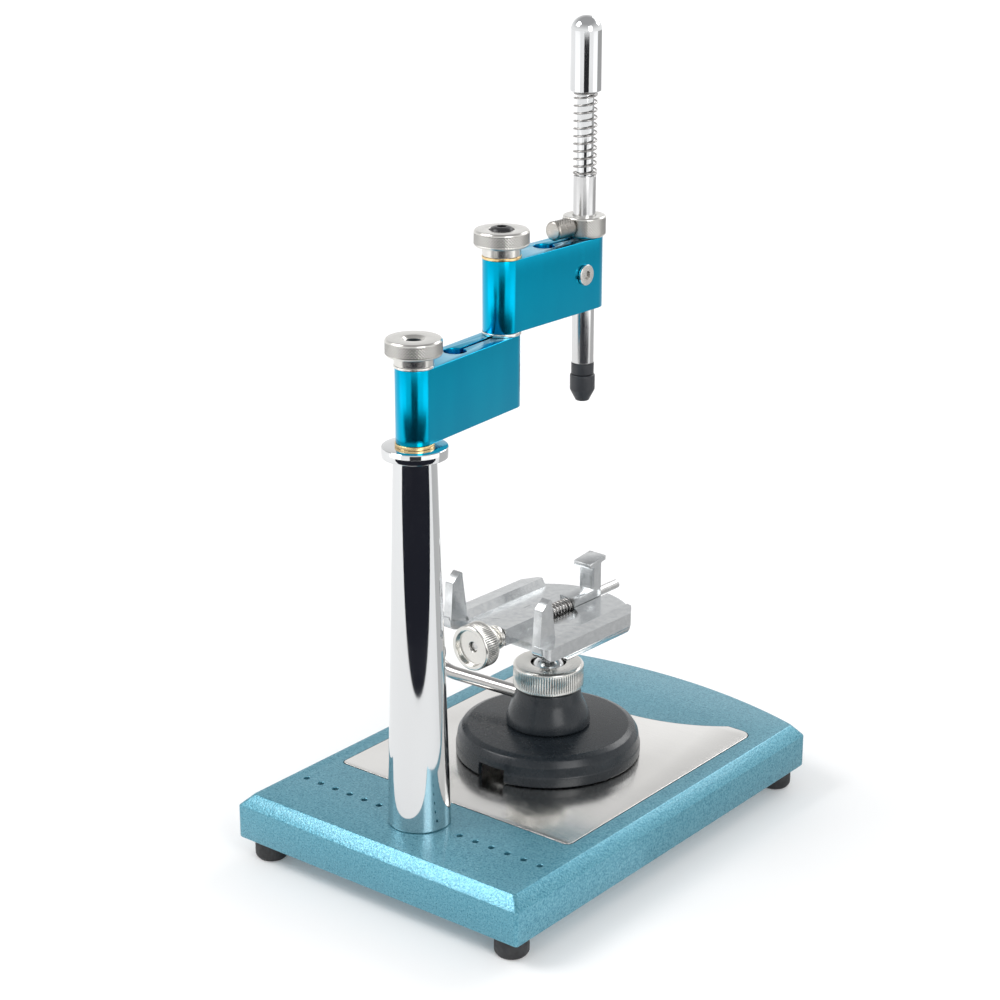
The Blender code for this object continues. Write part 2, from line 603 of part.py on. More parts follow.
def sphere(name, radius, look, where, parent):
    mesh = bpy.data.meshes.new(name)
    shape = bmesh.new()
    bmesh.ops.create_uvsphere(shape, u_segments=22, v_segments=12, radius=radius * MM)
    shape.to_mesh(mesh)
    shape.free()
    finish(mesh)
    return mesh_object(name, mesh, look, where, parent)


def build_ball(axis):
    """The ball, and the stud that stands on it in a shallow dish."""
    sphere("pivot_ball", BALL_RADIUS, CHROME, (0, 0, BALL_Z), axis)
    dish = BALL_RADIUS + GAP
    flange = dish + 1.2
    edge = math.radians(25.0)
    profile = [(0, 103.3 - BALL_Z), (4.0, 103.3 - BALL_Z), (4.0, 92.2 - BALL_Z),
               (flange * math.sin(edge), flange * math.cos(edge))]
    profile += [(dish * math.sin(edge * i / 4), dish * math.cos(edge * i / 4)) for i in (4, 3, 2, 1, 0)]
    turned("ball_stud", profile, CHROME, (0, 0, BALL_Z), axis)
    build_platform(pivot("platform_axis", (0, 0, BALL_Z), (0, 0, PLATFORM_YAW), axis))


def platform_outline(front, inset=0.0):
    """Straight sides and front, and a round far edge."""
    half = PLATFORM_HALF_WIDTH - inset
    radius = PLATFORM_RADIUS - inset
    meet = math.degrees(math.acos(half / radius))
    return [(-half, front), (half, front)] + arc((0, 0), radius, meet, 180.0 - meet, 26)


def nose_outline(side):
    """Plan of one rail, rounded at its front corner."""
    half = PLATFORM_HALF_WIDTH
    meet = math.degrees(math.acos(half / PLATFORM_RADIUS))
    corner = 3.4
    plan = [(FINGER_X[0], NOSE_Y)] + arc((half - corner, NOSE_Y + corner), corner, -90.0, 0.0, 5)
    plan += arc((0, 0), PLATFORM_RADIUS, meet, 90.0, 22) + [(0.0, PLATFORM_FRONT_Y + 4.0),
                                                            (FINGER_X[0], PLATFORM_FRONT_Y + 4.0)]
    return [(side * x, y) for x, y in plan][::side]


def side_prism(name, outline, low_x, high_x, parent, look=None):
    """An outline in the local YZ plane (y, z), carried from low_x to high_x."""
    return slab(name, outline, low_x, high_x, look, parent, (0, 0, 0), (90, 0, 90))


def build_rail(label, side, axis, up):
    """A rail that slopes out from its ridge, with the finger that stands at its front."""
    half = PLATFORM_HALF_WIDTH
    section = [(RAIL_INNER_X, up(PLATFORM_UNDER_Z)), (half + 1.0, up(PLATFORM_UNDER_Z)),
               (half + 1.0, up(RAIL_OUTER_Z) - 0.15), (RAIL_RIDGE[0], up(RAIL_RIDGE[1])),
               (RAIL_INNER_X, up(PLATFORM_FLOOR_Z))]
    section = [(side * x, z) for x, z in section][::side]
    rail = slab(f"{label}_rail", section, -RAIL_END_Y, 47.0, None, axis, (0, 0, 0), (90, 0, 0))
    limits = slab(f"{label}_rail_plan", nose_outline(side), up(100.0), up(125.0), None, axis)
    combine(rail, limits, "INTERSECT")
    bake(rail)
    finger = [(NOSE_Y, up(PLATFORM_UNDER_Z)), (-33.6, up(PLATFORM_UNDER_Z)), (-33.7, up(118.8)), (-36.5, up(136.5)),
              (-36.7, up(138.4)), (-37.6, up(139.3)), (-38.5, up(139.0)), (-43.5, up(135.2))]
    inner, outer = sorted((side * FINGER_X[0], side * FINGER_X[1]))
    add(rail, side_prism(f"{label}_finger", finger, inner, outer, axis))
    under = [(-37.5, up(100.0)), (-37.5, up(PLATFORM_UNDER_Z)), (-41.5, up(108.9)), (-44.6, up(110.4)),
             (NOSE_Y, up(113.0)), (-50.0, up(113.0)), (-50.0, up(100.0))][::-1]
    inner, outer = sorted((side * 20.0, side * 40.0))
    cut(rail, side_prism(f"{label}_nose_rounding", under, inner, outer, axis))
    bake(rail)
    return rail


def build_platform(axis):
    def up(z):
        return z - BALL_Z

    casting = slab("cast_platform", platform_outline(PLATFORM_FRONT_Y), up(PLATFORM_UNDER_Z), up(PLATFORM_FLOOR_Z),
                   CASTING, axis)
    for number, (inset, bottom) in enumerate(((0.9, 106.3), (2.8, 104.4))):
        add(casting, slab(f"skirt_{number}", platform_outline(SKIRT_FRONT_Y + inset, inset), up(bottom), up(109.0 - number),
                          None, axis))
    add(casting, rod("platform_hub", 11.0, up(99.5), up(109.5), None, (0, 0, 0), axis, steps=32))
    for label, side in (("left", -1), ("right", 1)):
        add(casting, build_rail(label, side, axis, up))
    rib = box("screw_rib", (-RIB_HALF_WIDTH, RIB_FRONT_Y, up(108.7)), (RIB_HALF_WIDTH, RIB_END_Y, up(RIB_TOP_Z)),
              None, axis)
    add(casting, rib)
    recess = rod("hub_recess", 15.0, up(110.9), up(114.0), None, (0, 0, 0), axis, steps=28)
    keep_rib = box("hub_recess_rib", (-RIB_HALF_WIDTH, -18.0, up(110.0)), (RIB_HALF_WIDTH, RIB_END_Y, up(116.0)),
                   None, axis)
    cut(recess, keep_rib)
    bake(recess)
    groove = box("jaw_groove", (-GROOVE_HALF_WIDTH, RIB_END_Y, up(107.7)), (GROOVE_HALF_WIDTH, 46.0, up(119.0)),
                 None, axis)
    screw_way = rod("clamp_screw_way", CLAMP_ROD_RADIUS + GAP, -48.0, 2.0, None, (0, 0, up(CLAMP_AXIS_Z)), axis,
                    (-90, 0, 0), steps=20)
    stud_way = rod("stud_way", 4.0 + GAP, up(98.0), up(103.6), None, (0, 0, 0), axis)
    cut(casting, recess, groove, screw_way, stud_way)
    bake(casting)
    build_clamp(axis, up(CLAMP_AXIS_Z), up)


def build_clamp(axis, height, up):
    """Everything on the clamp screw. Lengths run along local Y, from the knob to the jaw."""
    line = (0, 0, height)
    along_y = (-90, 0, 0)
    face = CLAMP_KNOB_FACE_Y
    bore = CLAMP_ROD_RADIUS + GAP
    rod("clamp_screw", CLAMP_ROD_RADIUS, face + 4.2, 56.4, STEEL, line, axis, along_y, steps=20)
    turned("clamp_knob", [
        (11.2, face + 10.0), (bore, face + 10.0), (bore, face + 2.7), (9.0, face + 2.7), (9.4, face),
        (11.2, face), (CLAMP_KNOB_RADIUS, face + 0.5), (CLAMP_KNOB_RADIUS, face + 9.5)][::-1],
        NICKEL, line, axis, along_y, ring=True)
    low = face + 10.0 + GAP
    high = RIB_FRONT_Y - GAP
    turned("clamp_bushing", [
        (bore, high), (6.3, high), (6.3, high - 2.4), (4.8, high - 2.7), (4.8, high - 4.4), (6.2, high - 4.7),
        (6.2, high - 7.0), (5.0, high - 7.3), (5.0, low), (bore, low)], NICKEL, line, axis, along_y, ring=True,
        steps=24)
    helix("jaw_spring", JAW_SPRING_RADIUS, JAW_SPRING_WIRE, RIB_END_Y + GAP, JAW_NEAR_Y - GAP, JAW_SPRING_TURNS,
          STEEL, line, axis, along_y)
    half = JAW_HALF_WIDTH
    jaw = side_prism("clamp_jaw", [
        (JAW_NEAR_Y, up(108.0)), (JAW_FAR_Y, up(108.0)), (JAW_FAR_Y, up(130.8)), (40.0, up(131.9)),
        (40.0, up(134.4)), (27.0, up(132.6)), (27.0, up(130.2)), (31.4, up(130.6)), (31.4, up(JAW_BAR_TOP_Z)),
        (JAW_NEAR_Y, up(JAW_BAR_TOP_Z))], -half, half, axis, CASTING)
    top = side_prism("jaw_top", [(27.05, up(130.25)), (39.95, up(131.95)), (39.95, up(134.35)),
                                 (27.05, up(132.55))], -5.4, 5.4, axis)
    add(jaw, top)
    cut(jaw, rod("jaw_screw_way", bore, 10.0, 50.0, None, line, axis, along_y, steps=20))
    bake(jaw)


build_base()
build_feet()
build_column()
build_arms()
build_table()
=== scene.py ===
"""Looks for the dental laboratory surveyor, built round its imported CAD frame.

Lengths are millimetres and become metres where a mesh is made; only the studio's lights, floor and cards are given
in metres. Pieces are modelled where they stand at rest, so every object's own origin is the world's, and a material's
object coordinates are metres.
"""

import json
import math
from collections import namedtuple

import bmesh
import bpy
import numpy as np
from mathutils import Matrix, Vector


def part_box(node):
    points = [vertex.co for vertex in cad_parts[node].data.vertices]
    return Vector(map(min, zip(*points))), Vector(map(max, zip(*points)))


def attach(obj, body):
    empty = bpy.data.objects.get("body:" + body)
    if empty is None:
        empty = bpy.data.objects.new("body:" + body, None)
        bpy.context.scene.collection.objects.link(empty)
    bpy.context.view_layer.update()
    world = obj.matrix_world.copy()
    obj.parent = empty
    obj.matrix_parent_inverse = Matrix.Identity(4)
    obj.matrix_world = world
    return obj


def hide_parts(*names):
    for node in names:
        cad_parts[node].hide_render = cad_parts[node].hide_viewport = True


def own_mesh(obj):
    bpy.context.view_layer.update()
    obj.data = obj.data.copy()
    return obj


MM = 0.001
GAP = 0.3                       # clearance that the CAD keeps between pieces
SMOOTH_ANGLE = 32.0             # an edge is sharp from this many degrees up
KNURL_SMOOTH_ANGLE = 50.0
CAMERA_PLACE = (685.7, -890.1, 568.4)
CAMERA_YAW = 38.66              # degrees from +Y towards -X
CAMERA_TILT = 70.76             # degrees up from straight down
CAMERA_LENS = 84.72             # focal length on a sensor 36 mm wide

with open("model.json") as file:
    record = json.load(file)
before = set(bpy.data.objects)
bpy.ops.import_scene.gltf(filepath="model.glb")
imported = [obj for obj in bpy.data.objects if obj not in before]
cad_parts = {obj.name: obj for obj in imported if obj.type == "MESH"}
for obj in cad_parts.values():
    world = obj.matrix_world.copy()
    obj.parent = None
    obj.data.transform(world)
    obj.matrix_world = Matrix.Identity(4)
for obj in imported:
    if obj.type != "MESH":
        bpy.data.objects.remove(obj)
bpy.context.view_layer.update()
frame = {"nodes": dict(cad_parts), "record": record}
nodes = frame["nodes"]
body_of = {node: body for body, members in frame["record"]["behaviour"]["bodies"].items() for node in members}
joints = {joint["name"]: joint for joint in frame["record"]["behaviour"]["joints"]}
slot_of = {part["node"]: part["material_slot"] for part in frame["record"]["subparts"]}


# -------- frame helpers

def low(node):
    return Vector(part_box(node)[0]) / MM


def high(node):
    return Vector(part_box(node)[1]) / MM


def centre(node):
    return (low(node) + high(node)) / 2.0


def joint_point(name):
    return Vector(joints[name]["pos_m"]) / MM


def joint_angle(name):
    """Direction of a level joint axis, in radians about +Z from +X."""
    axis = joints[name]["axis"]
    return math.atan2(axis[1], axis[0])


def upright(point):
    """A place on a vertical axis, with z left at the floor."""
    return Matrix.Translation((point[0], point[1], 0.0))


# -------- materials

class Look:
    """A Principled material and short ways of adding procedural detail to it."""

    def __init__(self, name, colour, roughness, metallic=0.0, **sockets):
        self.material = bpy.data.materials.new(name)
        self.material.use_nodes = True
        self.tree = self.material.node_tree
        self.shader = self.tree.nodes["Principled BSDF"]
        self.shader.inputs["Base Color"].default_value = (*colour, 1.0)
        self.shader.inputs["Roughness"].default_value = roughness
        self.shader.inputs["Metallic"].default_value = metallic
        for socket, value in sockets.items():
            self.shader.inputs[socket.replace("_", " ")].default_value = value
        self.place = self.tree.nodes.new("ShaderNodeTexCoord").outputs["Object"]
        self.last_normal = None

    def link(self, output, socket):
        self.tree.links.new(output, socket)

    def stretched(self, scale):
        node = self.tree.nodes.new("ShaderNodeMapping")
        node.inputs["Scale"].default_value = scale
        self.link(self.place, node.inputs["Vector"])
        return node.outputs["Vector"]

    def noise(self, scale, detail=3.0, roughness=0.5, stretch=None, distortion=0.0):
        node = self.tree.nodes.new("ShaderNodeTexNoise")
        node.inputs["Scale"].default_value = scale
        node.inputs["Detail"].default_value = detail
        node.inputs["Roughness"].default_value = roughness
        node.inputs["Distortion"].default_value = distortion
        self.link(self.stretched(stretch) if stretch else self.place, node.inputs["Vector"])
        return node.outputs["Fac"]

    def cells(self, scale):
        node = self.tree.nodes.new("ShaderNodeTexVoronoi")
        node.feature = "SMOOTH_F1"
        node.inputs["Scale"].default_value = scale
        node.inputs["Smoothness"].default_value = 0.6
        self.link(self.place, node.inputs["Vector"])
        return node.outputs["Distance"]

    def spread(self, value, start, end, out_start, out_end):
        node = self.tree.nodes.new("ShaderNodeMapRange")
        for socket, number in zip(("From Min", "From Max", "To Min", "To Max"), (start, end, out_start, out_end)):
            node.inputs[socket].default_value = number
        self.link(value, node.inputs["Value"])
        return node.outputs["Result"]

    def colours(self, value, *stops):
        node = self.tree.nodes.new("ShaderNodeValToRGB")
        ramp = node.color_ramp
        while len(ramp.elements) < len(stops):
            ramp.elements.new(0.5)
        for element, (position, colour) in zip(ramp.elements, stops):
            element.position = position
            element.color = (*colour, 1.0)
        self.link(value, node.inputs["Fac"])
        return node.outputs["Color"]

    def paint(self, value, *stops):
        self.link(self.colours(value, *stops), self.shader.inputs["Base Color"])

    def gloss(self, value, start, end, smooth, rough):
        """Roughness goes from smooth to rough as the value goes from start to end."""
        self.link(self.spread(value, start, end, smooth, rough), self.shader.inputs["Roughness"])

    def bump(self, value, strength, depth):
        """Depth is the height of the relief in millimetres."""
        node = self.tree.nodes.new("ShaderNodeBump")
        node.inputs["Strength"].default_value = strength
        node.inputs["Distance"].default_value = depth * MM
        self.link(value, node.inputs["Height"])
        if self.last_normal:
            self.link(self.last_normal, node.inputs["Normal"])
        self.last_normal = node.outputs["Normal"]
        self.link(self.last_normal, self.shader.inputs["Normal"])


def hammertone():
    """Light blue enamel with the fine, dark-dimpled skin of hammer paint."""
    look = Look("hammertone_blue", (0.09, 0.30, 0.40), 0.30, 0.45, Coat_Weight=0.2, Coat_Roughness=0.12)
    grain = look.noise(1150.0, 2.0, 0.5, distortion=0.4)
    look.paint(grain, (0.30, (0.035, 0.185, 0.265)), (0.48, (0.090, 0.300, 0.390)), (0.72, (0.165, 0.400, 0.490)))
    look.gloss(look.noise(1500.0, 2.0), 0.3, 0.7, 0.26, 0.40)
    look.bump(look.cells(900.0), 0.45, 0.18)
    look.bump(grain, 0.22, 0.10)
    return look


def anodised():
    """Bright blue anodised bar stock with faint drawing lines along its height."""
    look = Look("anodised_blue", (0.0, 0.33, 0.56), 0.2, 1.0)
    lines = look.noise(1500.0, 2.0, 0.6, (1.0, 1.0, 0.03))
    look.paint(look.noise(60.0, 2.0, stretch=(1.0, 1.0, 0.2)), (0.3, (0.0, 0.335, 0.54)), (0.7, (0.0, 0.375, 0.58)))
    look.gloss(lines, 0.3, 0.7, 0.17, 0.23)
    look.bump(lines, 0.04, 0.02)
    return look


def chrome(name, rough, tint):
    """Polished plate with a trace of handling."""
    look = Look(name, tint, rough, 1.0)
    look.gloss(look.noise(45.0, 4.0, 0.6), 0.35, 0.75, rough, rough + 0.04)
    look.bump(look.noise(30.0, 2.0), 0.03, 0.05)
    return look


def nickel(name, colour, rough):
    """Turned and plated metal: fine rings left by the tool, hardly mottled."""
    look = Look(name, colour, rough, 1.0)
    dark = tuple(0.90 * c for c in colour)
    bright = tuple(min(1.0, 1.04 * c) for c in colour)
    look.paint(look.noise(260.0, 3.0, 0.6), (0.32, dark), (0.62, bright))
    look.gloss(look.noise(500.0, 3.0), 0.3, 0.7, rough - 0.03, rough + 0.05)
    look.bump(look.noise(1400.0, 2.0, 0.6, (0.25, 0.25, 1.0)), 0.06, 0.02)
    return look


def knurled(name, colour, rough):
    """Plated metal with painted shade in the grooves of its knurling: the deeper a point is cut, the darker its
    colour.
    """
    look = nickel(name, colour, rough)
    attribute = look.tree.nodes.new("ShaderNodeAttribute")
    attribute.attribute_name = "groove"
    # painted shade: the colour darkens towards the bottom of each knurl groove
    look.paint(attribute.outputs["Fac"], (0.45, colour), (0.75, tuple(0.50 * c for c in colour)),
               (1.00, tuple(0.10 * c for c in colour)))
    return look


def ground_steel():
    """Rolled bright sheet: long hair lines across the base and a few broad stains."""
    look = Look("bright_sheet_steel", (0.72, 0.71, 0.69), 0.2, 1.0)
    lines = look.noise(900.0, 3.0, 0.65, (0.04, 1.0, 1.0))
    look.paint(look.noise(14.0, 3.0), (0.3, (0.70, 0.69, 0.67)), (0.7, (0.80, 0.79, 0.77)))
    look.gloss(lines, 0.25, 0.75, 0.13, 0.24)
    look.bump(lines, 0.05, 0.02)
    return look


def casting():
    """Light zinc casting, tumbled: bluish grey with a soft dapple."""
    look = Look("light_casting", (0.56, 0.57, 0.575), 0.25, 0.95)
    dapple = look.noise(210.0, 4.0, 0.62)
    look.paint(look.noise(330.0, 4.0, 0.65), (0.34, (0.53, 0.545, 0.555)), (0.66, (0.62, 0.635, 0.64)))
    look.gloss(dapple, 0.3, 0.7, 0.16, 0.27)
    look.bump(look.noise(85.0, 2.0), 0.12, 0.30)
    look.bump(dapple, 0.08, 0.14)
    look.bump(look.noise(1300.0, 2.0), 0.12, 0.04)
    return look


def black_moulding(name, colour, rough):
    """Moulded black plastic with a fine skin and soft scuffs."""
    look = Look(name, colour, rough, 0.0, Specular_IOR_Level=0.38)
    lighter = tuple(1.25 * c + 0.001 for c in colour)
    look.paint(look.noise(55.0, 4.0, 0.6), (0.35, colour), (0.75, lighter))
    look.gloss(look.noise(220.0, 4.0, 0.6), 0.3, 0.75, rough - 0.04, rough + 0.06)
    look.bump(look.noise(1500.0, 2.0), 0.08, 0.04)
    return look


def rubber():
    """Dull black rubber with a dusty bloom."""
    look = Look("foot_rubber", (0.018, 0.018, 0.019), 0.62, 0.0)
    look.paint(look.noise(180.0, 4.0), (0.3, (0.012, 0.012, 0.013)), (0.75, (0.034, 0.034, 0.036)))
    look.gloss(look.noise(400.0, 3.0), 0.3, 0.7, 0.52, 0.74)
    look.bump(look.noise(1700.0, 3.0), 0.25, 0.08)
    return look


def floor_look():
    """Matt white that glows a little, and more so with distance from the object."""
    look = Look("studio_floor", (0.86, 0.86, 0.86), 0.85, 0.0, Emission_Color=(1.0, 1.0, 1.0, 1.0))
    look.gloss(look.noise(6.0, 2.0), 0.3, 0.7, 0.8, 0.9)
    away = look.tree.nodes.new("ShaderNodeVectorMath")
    away.operation = "LENGTH"
    look.link(look.place, away.inputs[0])
    look.link(look.spread(away.outputs["Value"], 0.4, 3.0, 0.10, 0.60), look.shader.inputs["Emission Strength"])
    return look


LOOKS = {
    "blue_paint": hammertone(),
    "blue_anodised": anodised(),
    "chrome": chrome("bright_chrome", 0.04, (0.68, 0.69, 0.695)),
    "nickel": nickel("nickel_plate", (0.72, 0.705, 0.67), 0.24),
    "steel": nickel("zinc_steel", (0.60, 0.60, 0.595), 0.27),
    "brass": nickel("turned_brass", (0.78, 0.58, 0.30), 0.25),
    "cast_metal": casting(),
    "black_plastic": black_moulding("black_plastic", (0.012, 0.016, 0.020), 0.27),
    "black_rubber": rubber(),
    "black_steel": black_moulding("black_oxide", (0.020, 0.022, 0.026), 0.38),
}
SHEET_STEEL = ground_steel()
SPRING_STEEL = nickel("spring_wire", (0.36, 0.35, 0.34), 0.24)
# both knurled materials carry painted shade in their knurl grooves
DARK_NICKEL = knurled("grey_nickel", (0.42, 0.40, 0.37), 0.28)
KNURLED_NICKEL = knurled("knurled_nickel", (0.66, 0.65, 0.62), 0.20)
SATIN_SLEEVE = chrome("satin_sleeve", 0.16, (0.62, 0.62, 0.62))
LEVER_CHROME = chrome("lever_chrome", 0.17, (0.45, 0.44, 0.43))
# painted shade: near-black material for the faces of recesses and holes
SHADOW_GAP = black_moulding("recess_shadow", (0.012, 0.020, 0.024), 0.6)
SOCKET_BLACK = black_moulding("socket_screw_black", (0.014, 0.014, 0.016), 0.30)


def dress(obj, look):
    obj.data.materials.clear()
    obj.data.materials.append(look.material)


def stand_for(obj, node, look=None):
    """obj takes the place of a CAD node and rides on its body, dressed in the look of the node's slot unless another
    look is given.
    """
    dress(obj, look or LOOKS[slot_of[node]])
    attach(obj, body_of[node])
    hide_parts(node)
    return obj


def paint_recess_shade(obj, inside):
    """Paints shade into a recess: faces whose middle, in millimetres, is inside it take the near-black recess shadow
    material.
    """
    obj.data.materials.append(SHADOW_GAP.material)
    for face in obj.data.polygons:
        if inside(face.center / MM):
            face.material_index = 1


# -------- meshes

def shade(mesh, angle=SMOOTH_ANGLE):
    mesh.shade_smooth()
    mesh.set_sharp_from_angle(angle=math.radians(angle))


def new_object(name, mesh):
    obj = bpy.data.objects.new(name, mesh)
    bpy.context.scene.collection.objects.link(obj)
    return obj


def clean(mesh, distance):
    """Joins points closer than the distance, in metres, and turns every face outwards."""
    shape = bmesh.new()
    shape.from_mesh(mesh)
    bmesh.ops.remove_doubles(shape, verts=shape.verts, dist=distance)
    bmesh.ops.recalc_face_normals(shape, faces=shape.faces)
    shape.to_mesh(mesh)
    shape.free()


def from_points(name, points, faces, matrix, angle=SMOOTH_ANGLE, groove=None):
    """Points are millimetres before the matrix. A groove value from 0 to 1 for each point is kept for the painted
    shade in a knurl's grooves.
    """
    mesh = bpy.data.meshes.new(name)
    mesh.from_pydata([tuple((matrix @ Vector(p)) * MM) for p in points], [], faces)
    if groove:
        mesh.attributes.new("groove", "FLOAT", "POINT").data.foreach_set("value", groove)
    clean(mesh, 1e-7)
    shade(mesh, angle)
    return new_object(name, mesh)


def loft(name, loops, matrix):
    """A closed solid through loops of points that all have one length."""
    count = len(loops[0])
    points = [point for loop in loops for point in loop]
    faces = []
    for start in range(0, len(points) - count, count):
        for s in range(count):
            t = (s + 1) % count
            faces.append((start + s, start + t, start + count + t, start + count + s))
    faces += [tuple(reversed(range(count))), tuple(range(len(points) - count, len(points)))]
    return from_points(name, points, faces, matrix)


def stack(name, loops, matrix):
    """A solid through level outlines, given bottom first as (outline, height)."""
    return loft(name, [[(x, y, height) for x, y in outline] for outline, height in loops], matrix)


def side_prism(name, outline, low_x, high_x, matrix):
    """An outline in the local YZ plane carried from low_x to high_x."""
    return loft(name, [[(x, y, z) for y, z in outline] for x in (low_x, high_x)], matrix)


def fillet(points, radius, steps=3, closed=True):
    """Rounds the corners of an outline or a profile of (x, y) points."""
    count = len(points)
    result = []
    for i, point in enumerate(points):
        here = np.array(point, float)
        if not closed and i in (0, count - 1):
            result.append(tuple(here))
            continue
        back = np.array(points[i - 1], float) - here
        ahead = np.array(points[(i + 1) % count], float) - here
        back_length, ahead_length = np.linalg.norm(back), np.linalg.norm(ahead)
        bend = np.dot(back, ahead) / (back_length * ahead_length)
        reach = min(radius, 0.45 * back_length, 0.45 * ahead_length)
        if bend < -0.97 or reach < 0.01:
            result.append(tuple(here))
            continue
        start, end = here + back / back_length * reach, here + ahead / ahead_length * reach
        for k in range(steps + 1):
            t = k / steps
            result.append(tuple((1 - t) ** 2 * start + 2 * t * (1 - t) * here + t ** 2 * end))
    return result


Knurl = namedtuple("Knurl", "low high teeth depth kind")    # a toothed band; its kind is straight or diamond


def zigzag(value):
    """1 at whole numbers and 0 half way between them."""
    return np.abs(2.0 * (value % 1.0) - 1.0)


def knurl_heights(knurl, start, end):
    """Heights from start to end where a knurled wall needs a row of points."""
    if knurl.kind == "straight":
        shares = (0.12, 0.50, 0.88)
    else:
        count = max(8, int(abs(end - start) / 0.22))
        shares = [(k + 0.5) / count for k in range(count)]
    return [start + (end - start) * share for share in shares]


def knurl_relief(knurl, angles, radius, height):
    """How deep each point of one row is cut: 0 on a tooth and 1 in a groove."""
    turn = angles * knurl.teeth / (2.0 * math.pi)
    if knurl.kind == "straight":
        return zigzag(turn)
    twist = height * knurl.teeth / (2.0 * math.pi * radius)
    return np.maximum(zigzag(turn + twist), zigzag(turn - twist))


def lathe(name, profile, matrix, steps=72, closed=False, soften=0.25, knurl=None):
    """Turns (radius, height) points about local Z. A knurl cuts the outer walls that lie within its heights."""
    outline = fillet(profile, soften, 3, closed) if soften else list(profile)
    outer = 0.55 * max(radius for radius, _ in outline)
    rows = []
    pairs = zip(outline, outline[1:] + outline[:1]) if closed else zip(outline, outline[1:] + [outline[-1]])
    for (radius, height), (next_radius, next_height) in pairs:
        rows.append((radius, height, False))
        if knurl and abs(next_radius - radius) < 0.05 and radius > outer:
            bottom, top = sorted((height, next_height))
            if bottom >= knurl.low - 0.01 and top <= knurl.high + 0.01 and top - bottom > 1.0:
                rows += [(radius, spot, True) for spot in knurl_heights(knurl, height, next_height)]
    if knurl:
        steps = knurl.teeth * 4
    angles = np.arange(steps) * 2.0 * math.pi / steps
    points, groove = [], []
    for radius, height, toothed in rows:
        relief = knurl_relief(knurl, angles, radius, height) if toothed else np.zeros(steps)
        across = radius - knurl.depth * relief if toothed else np.full(steps, float(radius))
        groove += relief.tolist()
        points += [(r * math.cos(a), r * math.sin(a), height) for r, a in zip(across, angles)]
    faces = []
    total = len(rows)
    for i in range(total if closed else total - 1):
        j = (i + 1) % total
        for s in range(steps):
            t = (s + 1) % steps
            faces.append((i * steps + s, i * steps + t, j * steps + t, j * steps + s))
    if knurl:
        return from_points(name, points, faces, matrix, KNURL_SMOOTH_ANGLE, groove)
    return from_points(name, points, faces, matrix)


def ring(outer, inner, bottom, top):
    """Profile of a washer or sleeve, for a closed lathe."""
    return [(outer, top), (outer, bottom), (inner, bottom), (inner, top)]


def dome(radius, middle, angles, rise=None):
    """Profile of a ball about the axis at a height. Angles are degrees from its top, and rise is its half height."""
    rise = rise or radius
    return [(radius * math.sin(math.radians(a)), middle + rise * math.cos(math.radians(a))) for a in angles]


def arc(middle, radius, start, end, steps):
    """Points round part of a circle, from one angle in degrees to the other."""
    turns = [math.radians(start + (end - start) * i / steps) for i in range(steps + 1)]
    return [(middle[0] + radius * math.cos(a), middle[1] + radius * math.sin(a)) for a in turns]


def evaluated_mesh(obj):
    bpy.context.view_layer.update()
    return bpy.data.meshes.new_from_object(obj.evaluated_get(bpy.context.evaluated_depsgraph_get()))


def apply_modifiers(obj):
    mesh = evaluated_mesh(obj)
    obj.modifiers.clear()
    obj.data = mesh


def curve_mesh(curve):
    guide = new_object(curve.name + "_guide", curve)
    mesh = evaluated_mesh(guide)
    bpy.data.objects.remove(guide, do_unlink=True)
    return mesh


def plate(name, outlines, bottom, top, matrix, edge):
    """Flat outlines (the first is the rim, the rest are holes) as a plate with rounded edges."""
    curve = bpy.data.curves.new(name, "CURVE")
    curve.dimensions = "2D"
    curve.fill_mode = "BOTH"
    curve.extrude = ((top - bottom) / 2.0 - edge) * MM
    curve.bevel_depth = edge * MM
    curve.bevel_resolution = 2
    curve.offset = -edge * MM
    for outline in outlines:
        spline = curve.splines.new("POLY")
        spline.points.add(len(outline) - 1)
        for point, (x, y) in zip(spline.points, outline):
            point.co = (x * MM, y * MM, 0.0, 1.0)
        spline.use_cyclic_u = True
    mesh = curve_mesh(curve)
    clean(mesh, 2e-6)
    lift = matrix @ Matrix.Translation((0.0, 0.0, (bottom + top) / 2.0))
    lift.translation = lift.translation * MM
    mesh.transform(lift)
    shade(mesh)
    return new_object(name, mesh)


def block(name, low_corner, high_corner, matrix):
    """A box between two opposite corners."""
    mesh = bpy.data.meshes.new(name)
    shape = bmesh.new()
    size = [b - a for a, b in zip(low_corner, high_corner)]
    middle = [(a + b) / 2.0 for a, b in zip(low_corner, high_corner)]
    place = matrix @ Matrix.Translation(middle) @ Matrix.Diagonal((*size, 1.0))
    bmesh.ops.create_cube(shape, size=1.0, matrix=Matrix.Scale(MM, 4) @ place)
    shape.to_mesh(mesh)
    shape.free()
    return new_object(name, mesh)


def boolean(target, tool, operation="DIFFERENCE"):
    step = target.modifiers.new(tool.name, "BOOLEAN")
    step.operation = operation
    step.solver = "EXACT"
    step.object = tool
    apply_modifiers(target)
    bpy.data.objects.remove(tool, do_unlink=True)


def soften_edges(obj, width, angle):
    """Rounds every edge sharper than the angle."""
    bevel = obj.modifiers.new("edges", "BEVEL")
    bevel.width = width * MM
    bevel.segments = 2
    bevel.limit_method = "ANGLE"
    bevel.angle_limit = math.radians(angle)
    bevel.use_clamp_overlap = True
    apply_modifiers(obj)
    shade(obj.data)


def tube_path(name, path, radius, matrix, roundness=5):
    """A round bar or wire along a path of (x, y, z) points."""
    curve = bpy.data.curves.new(name, "CURVE")
    curve.dimensions = "3D"
    curve.bevel_depth = radius * MM
    curve.bevel_resolution = roundness
    curve.use_fill_caps = True
    spline = curve.splines.new("POLY")
    spline.points.add(len(path) - 1)
    for point, spot in zip(spline.points, path):
        point.co = (*((matrix @ Vector(spot)) * MM), 1.0)
    mesh = curve_mesh(curve)
    mesh.materials.clear()
    shade(mesh, 40.0)
    return new_object(name, mesh)


